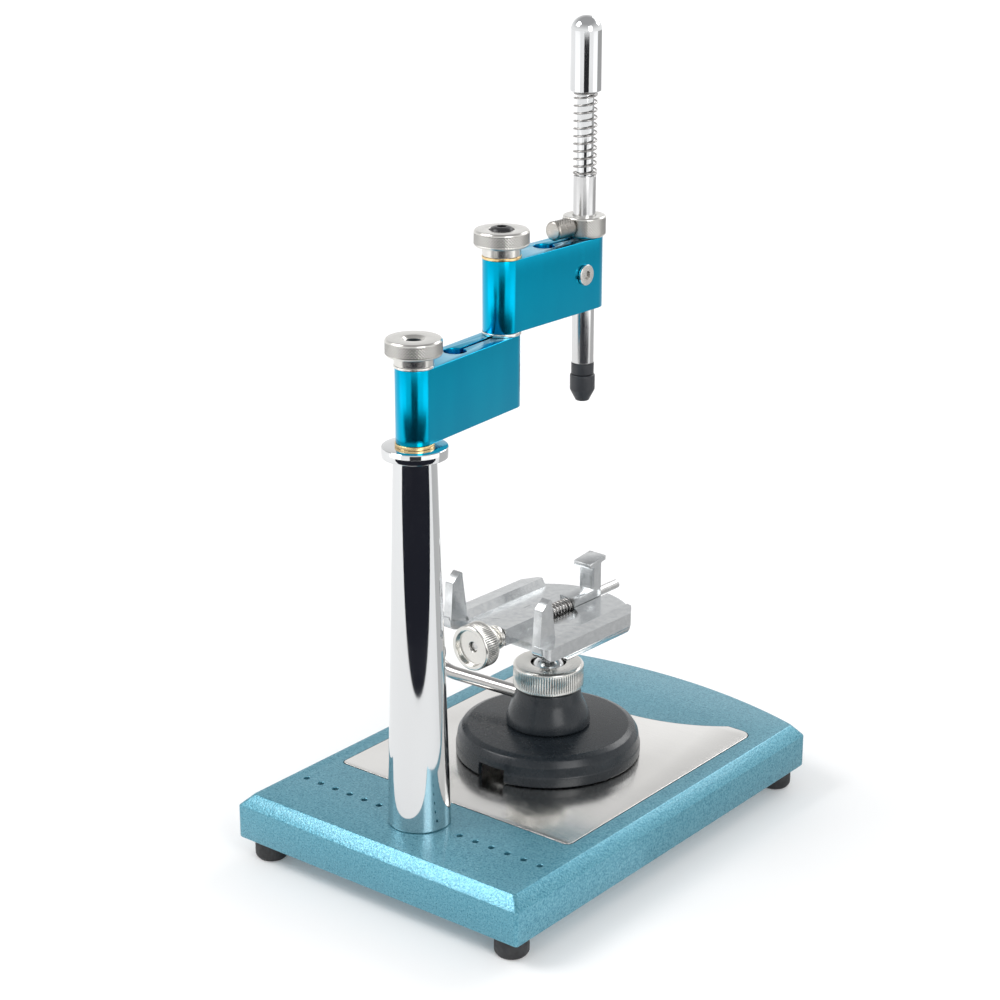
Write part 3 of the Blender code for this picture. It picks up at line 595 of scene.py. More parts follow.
def coil_path(radius, bottom, top, turns, closed_turns=0.8):
    """A compression spring's centre line: its first and last turns lie nearly flat."""
    flat = 0.14                 # rise of a closed turn, as a share of an open turn's
    count = int(turns * 36)
    last_open = turns - closed_turns
    free = turns - 2.0 * closed_turns
    whole = free + 2.0 * flat * closed_turns
    path = []
    for i in range(count + 1):
        turn = turns * i / count
        if turn < closed_turns:
            rise = flat * turn
        elif turn > last_open:
            rise = flat * closed_turns + free + flat * (turn - last_open)
        else:
            rise = flat * closed_turns + (turn - closed_turns)
        angle = 2.0 * math.pi * turn
        path.append((radius * math.cos(angle), radius * math.sin(angle), bottom + (top - bottom) * rise / whole))
    return path


# -------- base

BASE_WIDTH = high("base_plate").x - low("base_plate").x
BASE_NEAR_Y = low("base_plate").y
BASE_APEX_Y = high("base_plate").y
BASE_BOTTOM = low("base_plate").z
BASE_TOP = high("base_plate").z
BASE_BOW = 15.2                 # how far the far edge bows out past its corners
BASE_CORNER = 1.8               # radius of the corners seen from above
BASE_CHAMFER = 5.8
RECESS_DEPTH = 1.6
TOOL_HOLES = 6                  # on each side of the column
TOOL_HOLE_FIRST_X = 26.2
TOOL_HOLE_PITCH = 9.9
TOOL_HOLE_Y = -97.3
TOOL_HOLE_RADIUS = 1.65
TOOL_HOLE_DEPTH = 15.0


def base_outline(inset):
    """The base seen from above, drawn in by inset."""
    half = BASE_WIDTH / 2.0 - inset
    radius = ((BASE_WIDTH / 2.0) ** 2 + BASE_BOW ** 2) / (2.0 * BASE_BOW)
    middle = (0.0, BASE_APEX_Y - radius)
    reach = math.degrees(math.asin(half / (radius - inset)))
    bow = arc(middle, radius - inset, 90.0 - reach, 90.0 + reach, 40)
    outline = [(-half, BASE_NEAR_Y + inset), (half, BASE_NEAR_Y + inset)] + bow
    return fillet(outline, BASE_CORNER, 4)


def steel_outline(grow):
    """The steel plate's outline: square near corners, and a far edge scooped out between two rounded ears."""
    half, near, far = 74.0, 3.0, 6.0
    near_y, far_y = low("steel_plate").y, high("steel_plate").y
    scoop_radius, scoop_y = 93.4 - grow, 163.0
    reach = math.degrees(math.asin((scoop_y - far_y - grow) / scoop_radius))
    return (arc((-half + near, near_y + near), near + grow, 180.0, 270.0, 8)
            + arc((half - near, near_y + near), near + grow, 270.0, 360.0, 8)
            + arc((half - far, far_y - far), far + grow, 0.0, 90.0, 10)
            + arc((0.0, scoop_y), scoop_radius, -reach, -180.0 + reach, 60)
            + arc((-half + far, far_y - far), far + grow, 90.0, 180.0, 10))


def build_base():
    level = Matrix.Identity(4)
    chamfer_low = BASE_TOP - BASE_CHAMFER
    insets = [
        (0.9, BASE_BOTTOM), (0.25, BASE_BOTTOM + 0.25), (0.0, BASE_BOTTOM + 0.9),
        (0.0, chamfer_low - 0.35), (0.08, chamfer_low - 0.08), (0.28, chamfer_low + 0.2),
        (BASE_CHAMFER - 0.3, BASE_TOP - 0.26), (BASE_CHAMFER - 0.05, BASE_TOP - 0.07), (BASE_CHAMFER + 0.3, BASE_TOP)]
    body = stack("base_body", [(base_outline(inset), height) for inset, height in insets], level)
    recess = plate("recess", [steel_outline(GAP + 0.2)], BASE_TOP - RECESS_DEPTH, BASE_TOP + 1.0, level, 0.0)
    boolean(body, recess)
    hole_bottom = BASE_TOP - TOOL_HOLE_DEPTH
    for side in (-1, 1):
        for i in range(TOOL_HOLES):
            spot = Matrix.Translation((side * (TOOL_HOLE_FIRST_X + i * TOOL_HOLE_PITCH), TOOL_HOLE_Y, 0.0))
            boolean(body, lathe("tool_hole", [
                (0, BASE_TOP + 0.5), (TOOL_HOLE_RADIUS + 0.75, BASE_TOP + 0.5), (TOOL_HOLE_RADIUS, BASE_TOP - 0.3),
                (TOOL_HOLE_RADIUS, hole_bottom), (0, hole_bottom)], spot, 20, soften=0))
    shade(body.data, 38.0)
    stand_for(body, "base_plate")
    # painted shade on the walls and floor of the recess round the steel sheet, for the dark gap line
    paint_recess_shade(body, lambda spot: -75.0 < spot.y < 95.0 and abs(spot.x) < 76.0
           and BASE_TOP - RECESS_DEPTH - 0.1 < spot.z < BASE_TOP - 0.05)
    sheet = plate("steel_sheet", [steel_outline(0.0)], low("steel_plate").z, high("steel_plate").z, level, 0.15)
    stand_for(sheet, "steel_plate", SHEET_STEEL)


def build_feet():
    for number in (1, 2, 3, 4):
        node = f"foot_{number}"
        radius = (high(node).x - low(node).x) / 2.0
        top = high(node).z
        foot = lathe(f"{node}_moulding", [
            (radius, top), (radius, 2.0), (radius - 1.4, 0.0), (4.6, 0.0), (4.6, 4.0), (2.3, 4.0), (2.3, top)],
            upright(centre(node)), 48, True, 0.7)
        stand_for(foot, node)
        dress(nodes[f"foot_screw_{number}"], LOOKS["steel"])


# -------- column and arms

PIVOT_BORE = 5.3                # radius of the way for the column's stud
ELBOW_BORE = 4.3                # radius of the way for the screw between the arms
SLEEVE_BORE = 5.95              # radius of the way for the spindle's sleeve
SLIT_HALF_WIDTH = 1.0           # of the slit that lets the clamp screw close an arm's far end
CLAMP_SCREW_BACK = 11.1         # from the far bore back to the clamp screw
Arm = namedtuple("Arm", "length half_width hole_at hole_radius near_bore far_bore")
LOWER_ARM = Arm(71.27, 9.1, 32.4, 5.6, PIVOT_BORE, ELBOW_BORE)
UPPER_ARM = Arm(63.43, 9.4, 32.0, 5.4, ELBOW_BORE, SLEEVE_BORE)


def build_washer(name, node, stand, outer, bore, soften):
    """A washer, grown to fill nearly all of the clearance above and below it."""
    profile = ring(outer, bore, low(node).z - 0.25, high(node).z + 0.25)
    stand_for(lathe(name, profile, stand, 72, True, soften), node)


def build_column():
    stand = upright(centre("column"))
    bottom, top = low("column").z, high("column").z
    neck = top - 5.3
    column = lathe("column_chromed", [
        (PIVOT_BORE, top), (15.95, top), (15.95, neck), (10.9, neck), (10.6, neck - 0.8), (15.7, bottom + 0.4),
        (15.6, bottom), (PIVOT_BORE, bottom)], stand, 160, True, 0.7)
    stand_for(column, "column")
    build_washer("lower_washer_ring", "lower_washer", stand, 9.5, PIVOT_BORE, 0.25)
    for node in ("column_bolt", "column_washer", "lower_pivot_stud"):
        dress(nodes[node], LOOKS["steel"])


def arm_outline(arm):
    """One closed outline: round the arm, in through the slit to the far bore and relief hole, and out again."""
    def mouth(radius):
        return math.degrees(math.asin(SLIT_HALF_WIDTH / radius))

    end, bore, hole = mouth(arm.half_width), mouth(arm.far_bore), mouth(arm.hole_radius)
    near, far = (0, 0), (0, arm.length)
    return (
        arc(near, arm.half_width, 180.0, 360.0, 36)
        + arc(far, arm.half_width, 0.0, 90.0 - end, 18)
        + arc(far, arm.far_bore, 90.0 - bore, -90.0 + bore, 24)
        + arc((0, arm.hole_at), arm.hole_radius, 90.0 - hole, -270.0 + hole, 40)
        + arc(far, arm.far_bore, -90.0 - bore, -270.0 + bore, 24)
        + arc(far, arm.half_width, 90.0 + end, 180.0, 18))


def clamp_screw(name, node, matrix, half_width):
    """A screw whose round head, with a hexagon socket, lies on the arm's side."""
    start = half_width + GAP
    screw = lathe(name, [
        (0, start + 1.5), (5.2, start + 1.5), (5.2, start), (2.5, start), (2.5, -6.5), (0, -6.5)], matrix, 64,
        soften=0.35)
    socket = lathe("socket", [(0, start + 3.0), (2.4, start + 3.0), (2.4, start + 0.5), (0, start + 0.5)], matrix, 6,
                   soften=0)
    boolean(screw, socket)
    shade(screw.data)
    stand_for(screw, node)


def build_arm(node, arm, screw_side):
    """An arm from its near pivot along local Y, and the clamp screw in its side."""
    pivot = joint_point(f"{node}_swing")
    axis = joint_angle(f"{node}_clamp_screw_turn")
    turn = axis if screw_side > 0 else axis + math.pi
    matrix = upright(pivot) @ Matrix.Rotation(turn, 4, "Z")
    bore_steps = 48
    near_bore = arc((0, 0), arm.near_bore, 0.0, 360.0 * (bore_steps - 1) / bore_steps, bore_steps - 1)
    bar = plate(f"{node}_bar", [arm_outline(arm), near_bore], low(node).z, high(node).z, matrix, 0.3)
    stand_for(bar, node)
    screw_z = joint_point(f"{node}_clamp_screw_turn").z
    tip = matrix @ Matrix.Translation((0, arm.length - CLAMP_SCREW_BACK, screw_z))
    clamp_screw(f"{node}_side_screw", f"{node}_clamp_screw",
                tip @ Matrix.Rotation(math.radians(90.0 * screw_side), 4, "Y"), arm.half_width)


def clamp_knob(name, node, stand, bore, top_hole):
    """A knurled knob on a plain boss. top_hole gives the profile of the hole in its top from the top's height."""
    bottom, top = low(node).z, high(node).z
    head = top - 8.0
    knob = lathe(name, [(9.5, head), (9.5, bottom), (bore, bottom)] + top_hole(top) + [
        (12.9, top), (13.6, top - 0.9), (13.6, head + 0.9), (12.9, head)], stand, closed=True, soften=0.35,
        knurl=Knurl(head + 1.0, top - 1.0, 58, 0.34, "diamond"))
    stand_for(knob, node, KNURLED_NICKEL)
    middle = stand.translation.to_2d()
    # painted shade inside the hole in the knob's top
    paint_recess_shade(knob, lambda spot: (spot.to_2d() - middle).length < 3.7 and spot.z > top - 5.0)


def build_arms():
    build_arm("lower_arm", LOWER_ARM, -1)
    stand = upright(joint_point("lower_arm_swing"))
    build_washer("lower_knob_ring", "lower_knob_washer", stand, 9.6, PIVOT_BORE, 0.15)
    clamp_knob("lower_knob_knurled", "lower_clamp_knob", stand, PIVOT_BORE, lambda top: [
        (PIVOT_BORE, top - 5.3), (3.4, top - 5.3), (3.4, top - 1.5), (5.8, top)])
    build_arm("upper_arm", UPPER_ARM, 1)
    stand = upright(joint_point("upper_arm_swing"))
    build_washer("middle_ring", "middle_washer", stand, 9.7, ELBOW_BORE, 0.2)
    build_washer("upper_knob_ring", "upper_knob_washer", stand, 9.7, ELBOW_BORE, 0.2)
    clamp_knob("upper_knob_knurled", "upper_clamp_knob", stand, ELBOW_BORE, lambda top: [
        (ELBOW_BORE, top - 3.7), (6.2, top - 3.7), (6.2, top)])
    build_pivot_screw(stand)


def build_pivot_screw(stand):
    bottom, top = low("upper_pivot_screw").z, high("upper_pivot_screw").z
    screw = lathe("pivot_screw_black", [
        (0, top), (3.4, top), (5.2, top - 0.6), (6.0, top - 1.9), (6.0, top - 4.9), (4.0, top - 4.9),
        (4.0, bottom), (0, bottom)], stand, 64, soften=0.3)
    boolean(screw, lathe("hex", [(0, top + 2), (2.6, top + 2), (2.6, top - 3.2), (0, top - 3.2)], stand, 6, soften=0))
    shade(screw.data)
    stand_for(screw, "upper_pivot_screw", SOCKET_BLACK)


# -------- spindle

ROD_RADIUS = 4.2
SPRING_WIRE = 0.45              # radius of the wire


def build_spindle():
    axis = joint_point("spindle_press")
    stand = upright(axis)
    bore = ROD_RADIUS + GAP
    build_sleeve(stand, bore)

    bottom, top = low("spindle_rod").z, high("spindle_rod").z
    stand_for(lathe("rod_polished", [(0, top), (ROD_RADIUS, top), (ROD_RADIUS, bottom), (0, bottom)], stand, 96,
                    soften=0.2), "spindle_rod")
    bottom, top = low("spindle_spring").z, high("spindle_spring").z
    path = coil_path(5.6, bottom + SPRING_WIRE, top - SPRING_WIRE, 12.0)
    spring = tube_path("spindle_coil", path, SPRING_WIRE, stand)
    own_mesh(stand_for(spring, "spindle_spring", SPRING_STEEL))
    bottom, top = low("spindle_cap").z, high("spindle_cap").z
    crown = 7.1
    radius = (high("spindle_cap").x - low("spindle_cap").x) / 2.0
    stand_for(lathe("handle_polished", dome(radius, top - crown, range(0, 91, 6), crown) + [
        (radius, bottom + 0.5), (radius - 0.5, bottom), (bore, bottom), (bore, bottom + 11.7), (0, bottom + 11.7)],
        stand, 96, soften=0), "spindle_cap")
    top = high("chuck_body").z
    stand_for(lathe("chuck_core", [
        (0, top - 4.1), (bore, top - 4.1), (bore, top), (5.8, top), (5.8, top - 5.6), (4.6, top - 5.6),
        (4.6, top - 14.0), (2.6, top - 19.4), (1.2, top - 19.4), (1.2, top - 7.8), (0, top - 7.8)], stand, 64,
        soften=0.2), "chuck_body")
    tip = low("chuck_nut").z
    stand_for(lathe("chuck_sleeve_nut", [
        (6.4, tip + 13.3), (6.4, tip + 5.8), (3.4, tip), (2.95, tip), (4.9, tip + 5.6), (4.9, tip + 13.9),
        (5.9, tip + 13.9)], stand, 64, True, 0.5), "chuck_nut")


def build_sleeve(stand, bore):
    """The sleeve in the upper arm, and its collar and thumb screw."""
    stand_for(lathe("sleeve_polished", ring(5.65, bore, low("spindle_sleeve").z, high("spindle_sleeve").z), stand, 96,
                    True, 0.3), "spindle_sleeve", SATIN_SLEEVE)
    bottom, top = low("sleeve_collar").z, high("sleeve_collar").z
    collar = lathe("collar_knurled", [
        (10.3, top), (10.9, top - 0.7), (10.9, bottom + 0.7), (10.3, bottom), (SLEEVE_BORE, bottom),
        (SLEEVE_BORE, top)], stand, closed=True, soften=0.3, knurl=Knurl(bottom + 0.8, top - 0.8, 48, 0.30, "diamond"))
    stand_for(collar, "sleeve_collar", KNURLED_NICKEL)

    thumb = (Matrix.Translation(joint_point("thumb_screw_turn"))
             @ Matrix.Rotation(joint_angle("thumb_screw_turn"), 4, "Z") @ Matrix.Rotation(math.pi / 2, 4, "Y"))
    head_end = 25.0             # from the spindle's axis
    thumb_screw = lathe("thumb_screw_knurled", [
        (0, head_end), (4.1, head_end), (4.9, head_end - 0.8), (4.9, 12.8), (4.2, 12.0), (2.0, 12.0), (2.0, 4.5),
        (0, 4.5)], thumb, soften=0.25, knurl=Knurl(12.9, head_end - 0.9, 24, 0.30, "diamond"))
    stand_for(thumb_screw, "collar_thumb_screw", DARK_NICKEL)


# -------- survey table

LEVER_HEIGHT = 63.0             # where the lever leaves the neck
LEVER_RADIUS = 3.6


def build_table():
    stand = upright(joint_point("lock_lever_swing"))
    top = high("table_base").z - 0.9
    shell = lathe("table_shell", [
        (12.3, top + 0.9), (21.5, top + 0.6), (42.2, top), (45.4, top - 1.3), (47.5, top - 4.6), (48.2, top - 9.6),
        (48.5, top - 10.2), (48.5, top - 14.7), (48.1, 35.8), (45.6, 35.8), (45.6, 44.0), (43.5, 48.0), (12.3, 48.6)],
        stand, 192, True, 0.5)
    boolean(shell, block("notch", (-8.3, -52.0, 30.0), (8.3, -40.0, 43.0), stand))
    shade(shell.data, 28.0)
    stand_for(shell, "table_base")
    for node in ("table_weight", "socket_post", "socket_screw_1", "socket_screw_2", "socket_screw_3"):
        dress(nodes[node], LOOKS["steel"])
    dress(nodes["ball_pad"], LOOKS["brass"])
    dress(nodes["table_glide"], LOOKS["black_rubber"])

    neck_top, neck_low = high("lock_neck").z, low("lock_neck").z
    neck = lathe("neck_bell", [
        (16.8, neck_top), (17.5, neck_top - 4.8), (18.4, neck_top - 7.4), (19.7, neck_top - 10.2),
        (21.0, neck_top - 13.2), (21.9, neck_top - 16.4), (22.1, neck_top - 19.1), (21.8, neck_low),
        (12.4, neck_low), (12.4, neck_top)], stand, 120, True, 0.8)
    stand_for(neck, "lock_neck")
    build_lever()

    bottom, top = low("knurled_cap").z, high("knurled_cap").z
    cap = lathe("ball_cap_knurled", [
        (17.2, top), (18.4, top - 1.0), (18.4, bottom + 1.0), (17.4, bottom), (12.3, bottom), (12.3, top - 1.1),
        (9.3, top - 1.1), (9.3, top)], stand, closed=True, soften=0.4,
        knurl=Knurl(bottom + 1.2, top - 1.2, 84, 0.42, "straight"))
    stand_for(cap, "knurled_cap", KNURLED_NICKEL)
    build_ball(stand)


def build_lever():
    """The lever's handle ball, and the bar that leaves the neck level and bends up into it."""
    ball = centre("lever_ball")
    axis = joint_point("lock_lever_swing")
    away = ball - Vector((axis.x, axis.y, ball.z))
    reach, rise = away.length, ball.z - LEVER_HEIGHT
    turned = upright(axis) @ Matrix.Rotation(math.atan2(away.y, away.x), 4, "Z")
    path = [(13.2, 0.0, LEVER_HEIGHT), (60.0, 0.0, LEVER_HEIGHT)]
    bend = [(60.0, 0.0), (67.5, 0.0), (69.5, 1.8), (reach - 2.0, rise - 1.24)]
    for i in range(1, 25):
        t = i / 24.0
        weights = ((1 - t) ** 3, 3 * t * (1 - t) ** 2, 3 * t * t * (1 - t), t ** 3)
        along, up = (sum(w * point[k] for w, point in zip(weights, bend)) for k in (0, 1))
        path.append((along, 0.0, LEVER_HEIGHT + up))
    stand_for(tube_path("lever_bar", path, LEVER_RADIUS, turned, 8), "lock_lever", LEVER_CHROME)
    radius = (high("lever_ball").z - low("lever_ball").z) / 2.0
    stand_for(lathe("lever_knob", dome(radius, ball.z, range(0, 181, 5)), upright(ball), 72, soften=0), "lever_ball")


def build_ball(stand):
    """The ball under the platform, and the stud whose dish sits on it."""
    middle = centre("pivot_ball").z
    radius = (high("pivot_ball").z - low("pivot_ball").z) / 2.0
    stand_for(lathe("ball_polished", dome(radius, middle, range(0, 181, 4)), stand, 96, soften=0), "pivot_ball")
    dish = radius + GAP
    top = high("ball_stud").z
    stud = [(0, top), (4.0, top), (4.0, middle + 13.7)]
    stud += dome(dish + 1.2, middle, (25.0,)) + dome(dish, middle, (25.0, 20.0, 15.0, 10.0, 5.0, 0.0))
    stand_for(lathe("stud_polished", stud, stand, 72, soften=0), "ball_stud")


# -------- cast platform

PLATFORM_RADIUS = 42.5
PLATFORM_HALF_WIDTH = 36.9
PLATFORM_UNDER = 108.4
PLATFORM_FLOOR = 112.2
PLATFORM_FRONT = -36.9          # of the floor between the fingers
NOSE = -46.0                    # front of the fingers and of the rails beside them
FINGER_X = (27.0, 32.0)
RAIL_INNER = 26.0
RAIL_RIDGE = (28.5, 116.3)      # x and height of a rail's highest edge
RAIL_OUTER_TOP = 115.5
RAIL_END = 29.0
RIB_HALF_WIDTH = 5.9
RIB_FRONT = -41.2
RIB_END = -3.5
CLAMP_ROD_RADIUS = 2.4
CLAMP_BORE = CLAMP_ROD_RADIUS + GAP
CLAMP_FACE = -61.9              # the clamp knob's outer face
JAW_NEAR = 15.0
JAW_SPRING_WIRE = 0.55          # radius of the wire


def platform_matrix():
    """Local Y runs along the clamp screw, and z stays the height above the floor."""
    axis = joint_point("platform_turn")
    turn = joint_angle("clamp_screw_turn") - math.pi / 2.0
    return upright(axis) @ Matrix.Rotation(turn, 4, "Z")


def platform_plan(front, inset=0.0):
    """Straight sides and front, and a round far edge."""
    half, radius = PLATFORM_HALF_WIDTH - inset, PLATFORM_RADIUS - inset
    meet = math.degrees(math.acos(half / radius))
    return [(-half, front), (half, front)] + arc((0, 0), radius, meet, 180.0 - meet, 72)


def rail_plan(side):
    """One rail seen from above, rounded at its front corner."""
    half, corner, back = PLATFORM_HALF_WIDTH, 3.4, PLATFORM_FRONT + 4.0
    meet = math.degrees(math.acos(half / PLATFORM_RADIUS))
    plan = [(FINGER_X[0], NOSE)] + arc((half - corner, NOSE + corner), corner, -90.0, 0.0, 8)
    plan += arc((0, 0), PLATFORM_RADIUS, meet, 90.0, 60) + [(0.0, back), (FINGER_X[0], back)]
    return [(side * x, y) for x, y in plan][::side]


def build_rail(side, local):
    """A rail that slopes out from its ridge, with the finger that stands at its front."""
    outer = PLATFORM_HALF_WIDTH + 1.0
    section = [(RAIL_INNER, PLATFORM_UNDER), (outer, PLATFORM_UNDER), (outer, RAIL_OUTER_TOP), RAIL_RIDGE,
               (RAIL_INNER, PLATFORM_FLOOR)]
    rail = loft("rail", [[(side * x, y, z) for x, z in section] for y in (-47.0, RAIL_END)], local)
    boolean(rail, plate("rail_limits", [rail_plan(side)], 100.0, 125.0, local, 0.0), "INTERSECT")
    finger = [(NOSE, PLATFORM_UNDER), (-33.6, PLATFORM_UNDER), (-33.7, 118.8), (-36.4, 136.0), (-36.55, 138.2),
              (-37.0, 139.0), (-37.6, 139.3), (-38.3, 139.1), (-43.5, 135.2), (-44.1, 134.0)]
    boolean(rail, side_prism("finger", finger, side * FINGER_X[0], side * FINGER_X[1], local), "UNION")
    under = [(-37.5, 100.0), (-37.5, 108.4), (-41.5, 108.9), (-43.3, 109.5), (-44.9, 110.7), (-45.8, 112.0),
             (NOSE, 113.0), (-50.0, 113.0), (-50.0, 100.0)]
    boolean(rail, side_prism("nose_rounding", under, side * 20.0, side * 40.0, local))
    return rail


def build_platform():
    local = platform_matrix()
    body = plate("platform_cast", [platform_plan(PLATFORM_FRONT)], PLATFORM_UNDER, PLATFORM_FLOOR, local, 0.0)
    insets = ((4.0, 103.8), (2.6, 104.1), (1.2, 105.1), (0.45, 106.5), (0.15, 107.7), (0.06, 108.6))
    skirt = [(platform_plan(-30.0 + inset, inset), height) for inset, height in insets]
    boolean(body, stack("skirt", skirt, local), "UNION")
    boolean(body, lathe("hub", [(0, 109.6), (11.0, 109.6), (11.0, 99.5), (0, 99.5)], local, 96, soften=0), "UNION")
    for side in (-1, 1):
        boolean(body, build_rail(side, local), "UNION")
    half = RIB_HALF_WIDTH
    boolean(body, block("rib", (-half, RIB_FRONT, 108.7), (half, RIB_END, 117.6), local), "UNION")
    recess = lathe("recess", [(0, 114.0), (15.0, 114.0), (15.0, 110.9), (0, 110.9)], local, 72, soften=0)
    boolean(recess, block("keep", (-half, -18.0, 110.0), (half, RIB_END, 116.0), local))
    boolean(body, recess)
    boolean(body, block("groove", (-5.2, RIB_END, 107.7), (5.2, 46.0, 119.0), local))
    along = (local @ Matrix.Translation((0, 0, joint_point("clamp_screw_turn").z))
             @ Matrix.Rotation(-math.pi / 2, 4, "X"))
    boolean(body, lathe("screw_way", [(0, 2.0), (CLAMP_BORE, 2.0), (CLAMP_BORE, -48.0), (0, -48.0)], along, 32,
                        soften=0))
    boolean(body, lathe("stud_way", [(0, 103.6), (4.3, 103.6), (4.3, 98.0), (0, 98.0)], local, 32, soften=0))
    soften_edges(body, 0.55, 34.0)
    body.data.validate()        # the rounding leaves some empty faces
    stand_for(body, "cast_platform")
    build_clamp(along)
    build_jaw(local, along)


def build_clamp(along):
    """The clamp's screw, knob and bushing, whose local Z runs along the screw towards the jaw."""
    face, bore = CLAMP_FACE, CLAMP_BORE
    rod = lathe("clamp_rod", [
        (0, 56.4), (CLAMP_ROD_RADIUS, 56.4), (CLAMP_ROD_RADIUS, face + 4.2), (0, face + 4.2)], along, 48, soften=0.4)
    stand_for(rod, "clamp_screw")
    knob = lathe("clamp_knob_knurled", [
        (11.1, face + 10.0), (11.7, face + 9.4), (11.7, face + 0.6), (11.1, face), (9.4, face), (9.0, face + 2.7),
        (bore, face + 2.7), (bore, face + 10.0)], along, closed=True, soften=0.3,
        knurl=Knurl(face + 0.7, face + 9.3, 64, 0.28, "straight"))
    stand_for(knob, "clamp_knob", KNURLED_NICKEL)
    near, far = face + 10.0 + GAP, RIB_FRONT - GAP
    bushing = lathe("clamp_collar", [
        (bore, far), (6.3, far), (6.3, far - 2.4), (4.8, far - 2.7), (4.8, far - 4.4), (6.2, far - 4.7),
        (6.2, far - 7.0), (5.0, far - 7.3), (5.0, near), (bore, near)], along, 64, True, 0.3)
    stand_for(bushing, "clamp_bushing")


def build_jaw(local, along):
    """The jaw that slides on the screw, and the spring between it and the rib."""
    wire = JAW_SPRING_WIRE
    start, end = RIB_END + GAP, JAW_NEAR - GAP
    coil = tube_path("jaw_coil", coil_path(3.55, start + wire, end - wire, 8.0, 0.6), wire, along)
    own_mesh(stand_for(coil, "jaw_spring", SPRING_STEEL))
    jaw = side_prism("jaw_cast", [
        (JAW_NEAR, 108.0), (37.0, 108.0), (37.0, 130.8), (40.0, 131.9), (40.0, 134.4), (27.0, 132.6), (27.0, 130.2),
        (31.4, 130.6), (31.4, 117.0), (JAW_NEAR, 117.0)], -4.85, 4.85, local)
    cap = side_prism("jaw_cap", [(27.05, 130.25), (39.95, 131.95), (39.95, 134.35), (27.05, 132.55)], -5.4, 5.4,
                     local)
    boolean(jaw, cap, "UNION")
    boolean(jaw, lathe("jaw_way", [(0, 50.0), (CLAMP_BORE, 50.0), (CLAMP_BORE, 10.0), (0, 10.0)], along, 32,
                       soften=0))
    soften_edges(jaw, 0.4, 40.0)
    stand_for(jaw, "clamp_jaw")


# -------- studio

FLOOR_HALF = 6.0                # metres
DARK_BEARING = -48.0            # the middle of what polished metal reflects as the dark front of the room
CARD_FAR = 4.5                  # metres from the column
LIGHTS = (                      # name, place, target and size in metres, and power in watts
    ("key", (-0.9, -0.9, 1.5), (0.0, 0.0, 0.15), (0.9, 0.9), 16.0),
    ("fill", (1.5, -0.6, 0.9), (0.0, 0.0, 0.15), (0.8, 1.2), 10.0),
    ("back", (0.2, 1.5, 1.2), (0.0, 0.0, 0.2), (1.4, 0.6), 10.0),
)
SKY = ((0.12, (1.0, 1.0, 1.0)), (0.80, (0.41, 0.41, 0.415)))    # colours by the height of a direction, 0 to 1
SKY_STRENGTH = 1.1


def build_floor():
    half = FLOOR_HALF
    mesh = bpy.data.meshes.new("floor")
    mesh.from_pydata([(-half, -half, 0), (half, -half, 0), (half, half, 0), (-half, half, 0)], [], [(0, 1, 2, 3)])
    floor = new_object("floor", mesh)
    dress(floor, floor_look())


def soft_light(name, place, target, size, power):
    """A soft box that points at the target."""
    data = bpy.data.lights.new(name, "AREA")
    data.shape = "RECTANGLE"
    data.size, data.size_y = size
    data.energy = power
    light = bpy.data.objects.new(name, data)
    bpy.context.scene.collection.objects.link(light)
    light.location = place
    light.rotation_euler = (Vector(target) - Vector(place)).to_track_quat("-Z", "Y").to_euler()


def floor_card(name, points, colour, glow=0.0):
    """A flat card on the floor that only reflections see. Points are (distance, bearing) from the column, in metres
    and in degrees about +Z from +X."""
    column = joint_point("lower_arm_swing") * MM
    corners = [(column.x + r * math.cos(math.radians(a)), column.y + r * math.sin(math.radians(a)), 0.002)
               for r, a in points]
    mesh = bpy.data.meshes.new(name)
    mesh.from_pydata(corners, [], [tuple(range(len(corners)))])
    card = new_object(name, mesh)
    dress(card, Look(f"{name}_look", colour, 0.9, Specular_IOR_Level=0.0, Emission_Color=(1.0, 1.0, 1.0, 1.0),
                     Emission_Strength=glow))
    card.visible_camera = False
    card.visible_diffuse = False
    card.visible_shadow = False
    card.visible_transmission = False


def sector(near, far, start, end):
    """Part of a ring round the column."""
    turns = [start + (end - start) * i / 8 for i in range(9)]
    return [(near, a) for a in turns] + [(far, a) for a in reversed(turns)]


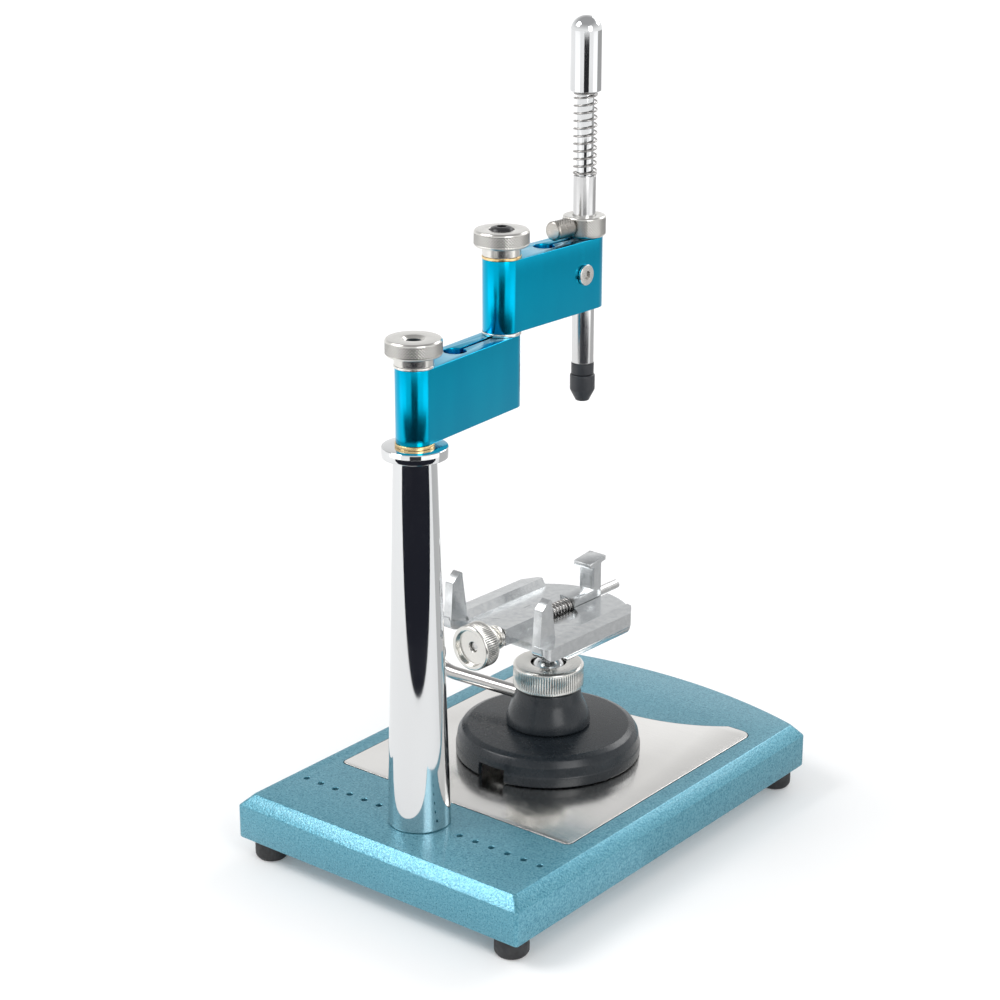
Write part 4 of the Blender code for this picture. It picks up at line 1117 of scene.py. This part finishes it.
def build_cards():
    """What polished metal reflects of the room: its dark front, a dim side and two bright panels."""
    front = DARK_BEARING
    edge = [(0.25 / math.cos(math.radians(0.9 * a)), front + a) for a in range(-72, 73, 6)]
    floor_card("room_front", edge + [(0.73, a) for _, a in reversed(edge)], (0.016, 0.017, 0.024))
    floor_card("room_beyond", sector(0.74, CARD_FAR, front - 19.0, front + 19.0), (0.045, 0.046, 0.05))
    floor_card("room_side", sector(0.10, CARD_FAR, 40.0, 100.0), (0.30, 0.30, 0.30), 0.28)
    floor_card("panel_left", sector(0.80, CARD_FAR, front - 95.0, front - 50.0), (0.9, 0.9, 0.9), 0.9)
    floor_card("panel_right", sector(0.80, CARD_FAR, front + 50.0, front + 86.0), (0.9, 0.9, 0.9), 0.9)


def build_world():
    """White round the horizon, fading to light grey overhead."""
    world = bpy.data.worlds.new("studio")
    bpy.context.scene.world = world
    world.use_nodes = True
    tree = world.node_tree
    background = tree.nodes["Background"]
    direction = tree.nodes.new("ShaderNodeTexCoord").outputs["Generated"]
    split = tree.nodes.new("ShaderNodeSeparateXYZ")
    tree.links.new(direction, split.inputs["Vector"])
    ramp = tree.nodes.new("ShaderNodeValToRGB")
    for element, (position, colour) in zip(ramp.color_ramp.elements, SKY):
        element.position = position
        element.color = (*colour, 1.0)
    tree.links.new(split.outputs["Z"], ramp.inputs["Fac"])
    tree.links.new(ramp.outputs["Color"], background.inputs["Color"])
    background.inputs["Strength"].default_value = SKY_STRENGTH


def build_studio():
    build_floor()
    build_cards()
    build_world()
    bpy.context.scene.view_settings.view_transform = "Standard"
    for light in LIGHTS:
        soft_light(*light)


def build_camera():
    data = bpy.data.cameras.new("camera")
    data.lens = CAMERA_LENS
    data.sensor_width = 36.0
    data.clip_start = 0.01
    camera = bpy.data.objects.new("camera", data)
    bpy.context.scene.collection.objects.link(camera)
    camera.location = Vector(CAMERA_PLACE) * MM
    camera.rotation_euler = (math.radians(CAMERA_TILT), 0.0, math.radians(CAMERA_YAW))
    bpy.context.scene.camera = camera


build_base()
build_feet()
build_column()
build_arms()
build_spindle()
build_table()
build_platform()
build_studio()
build_camera()
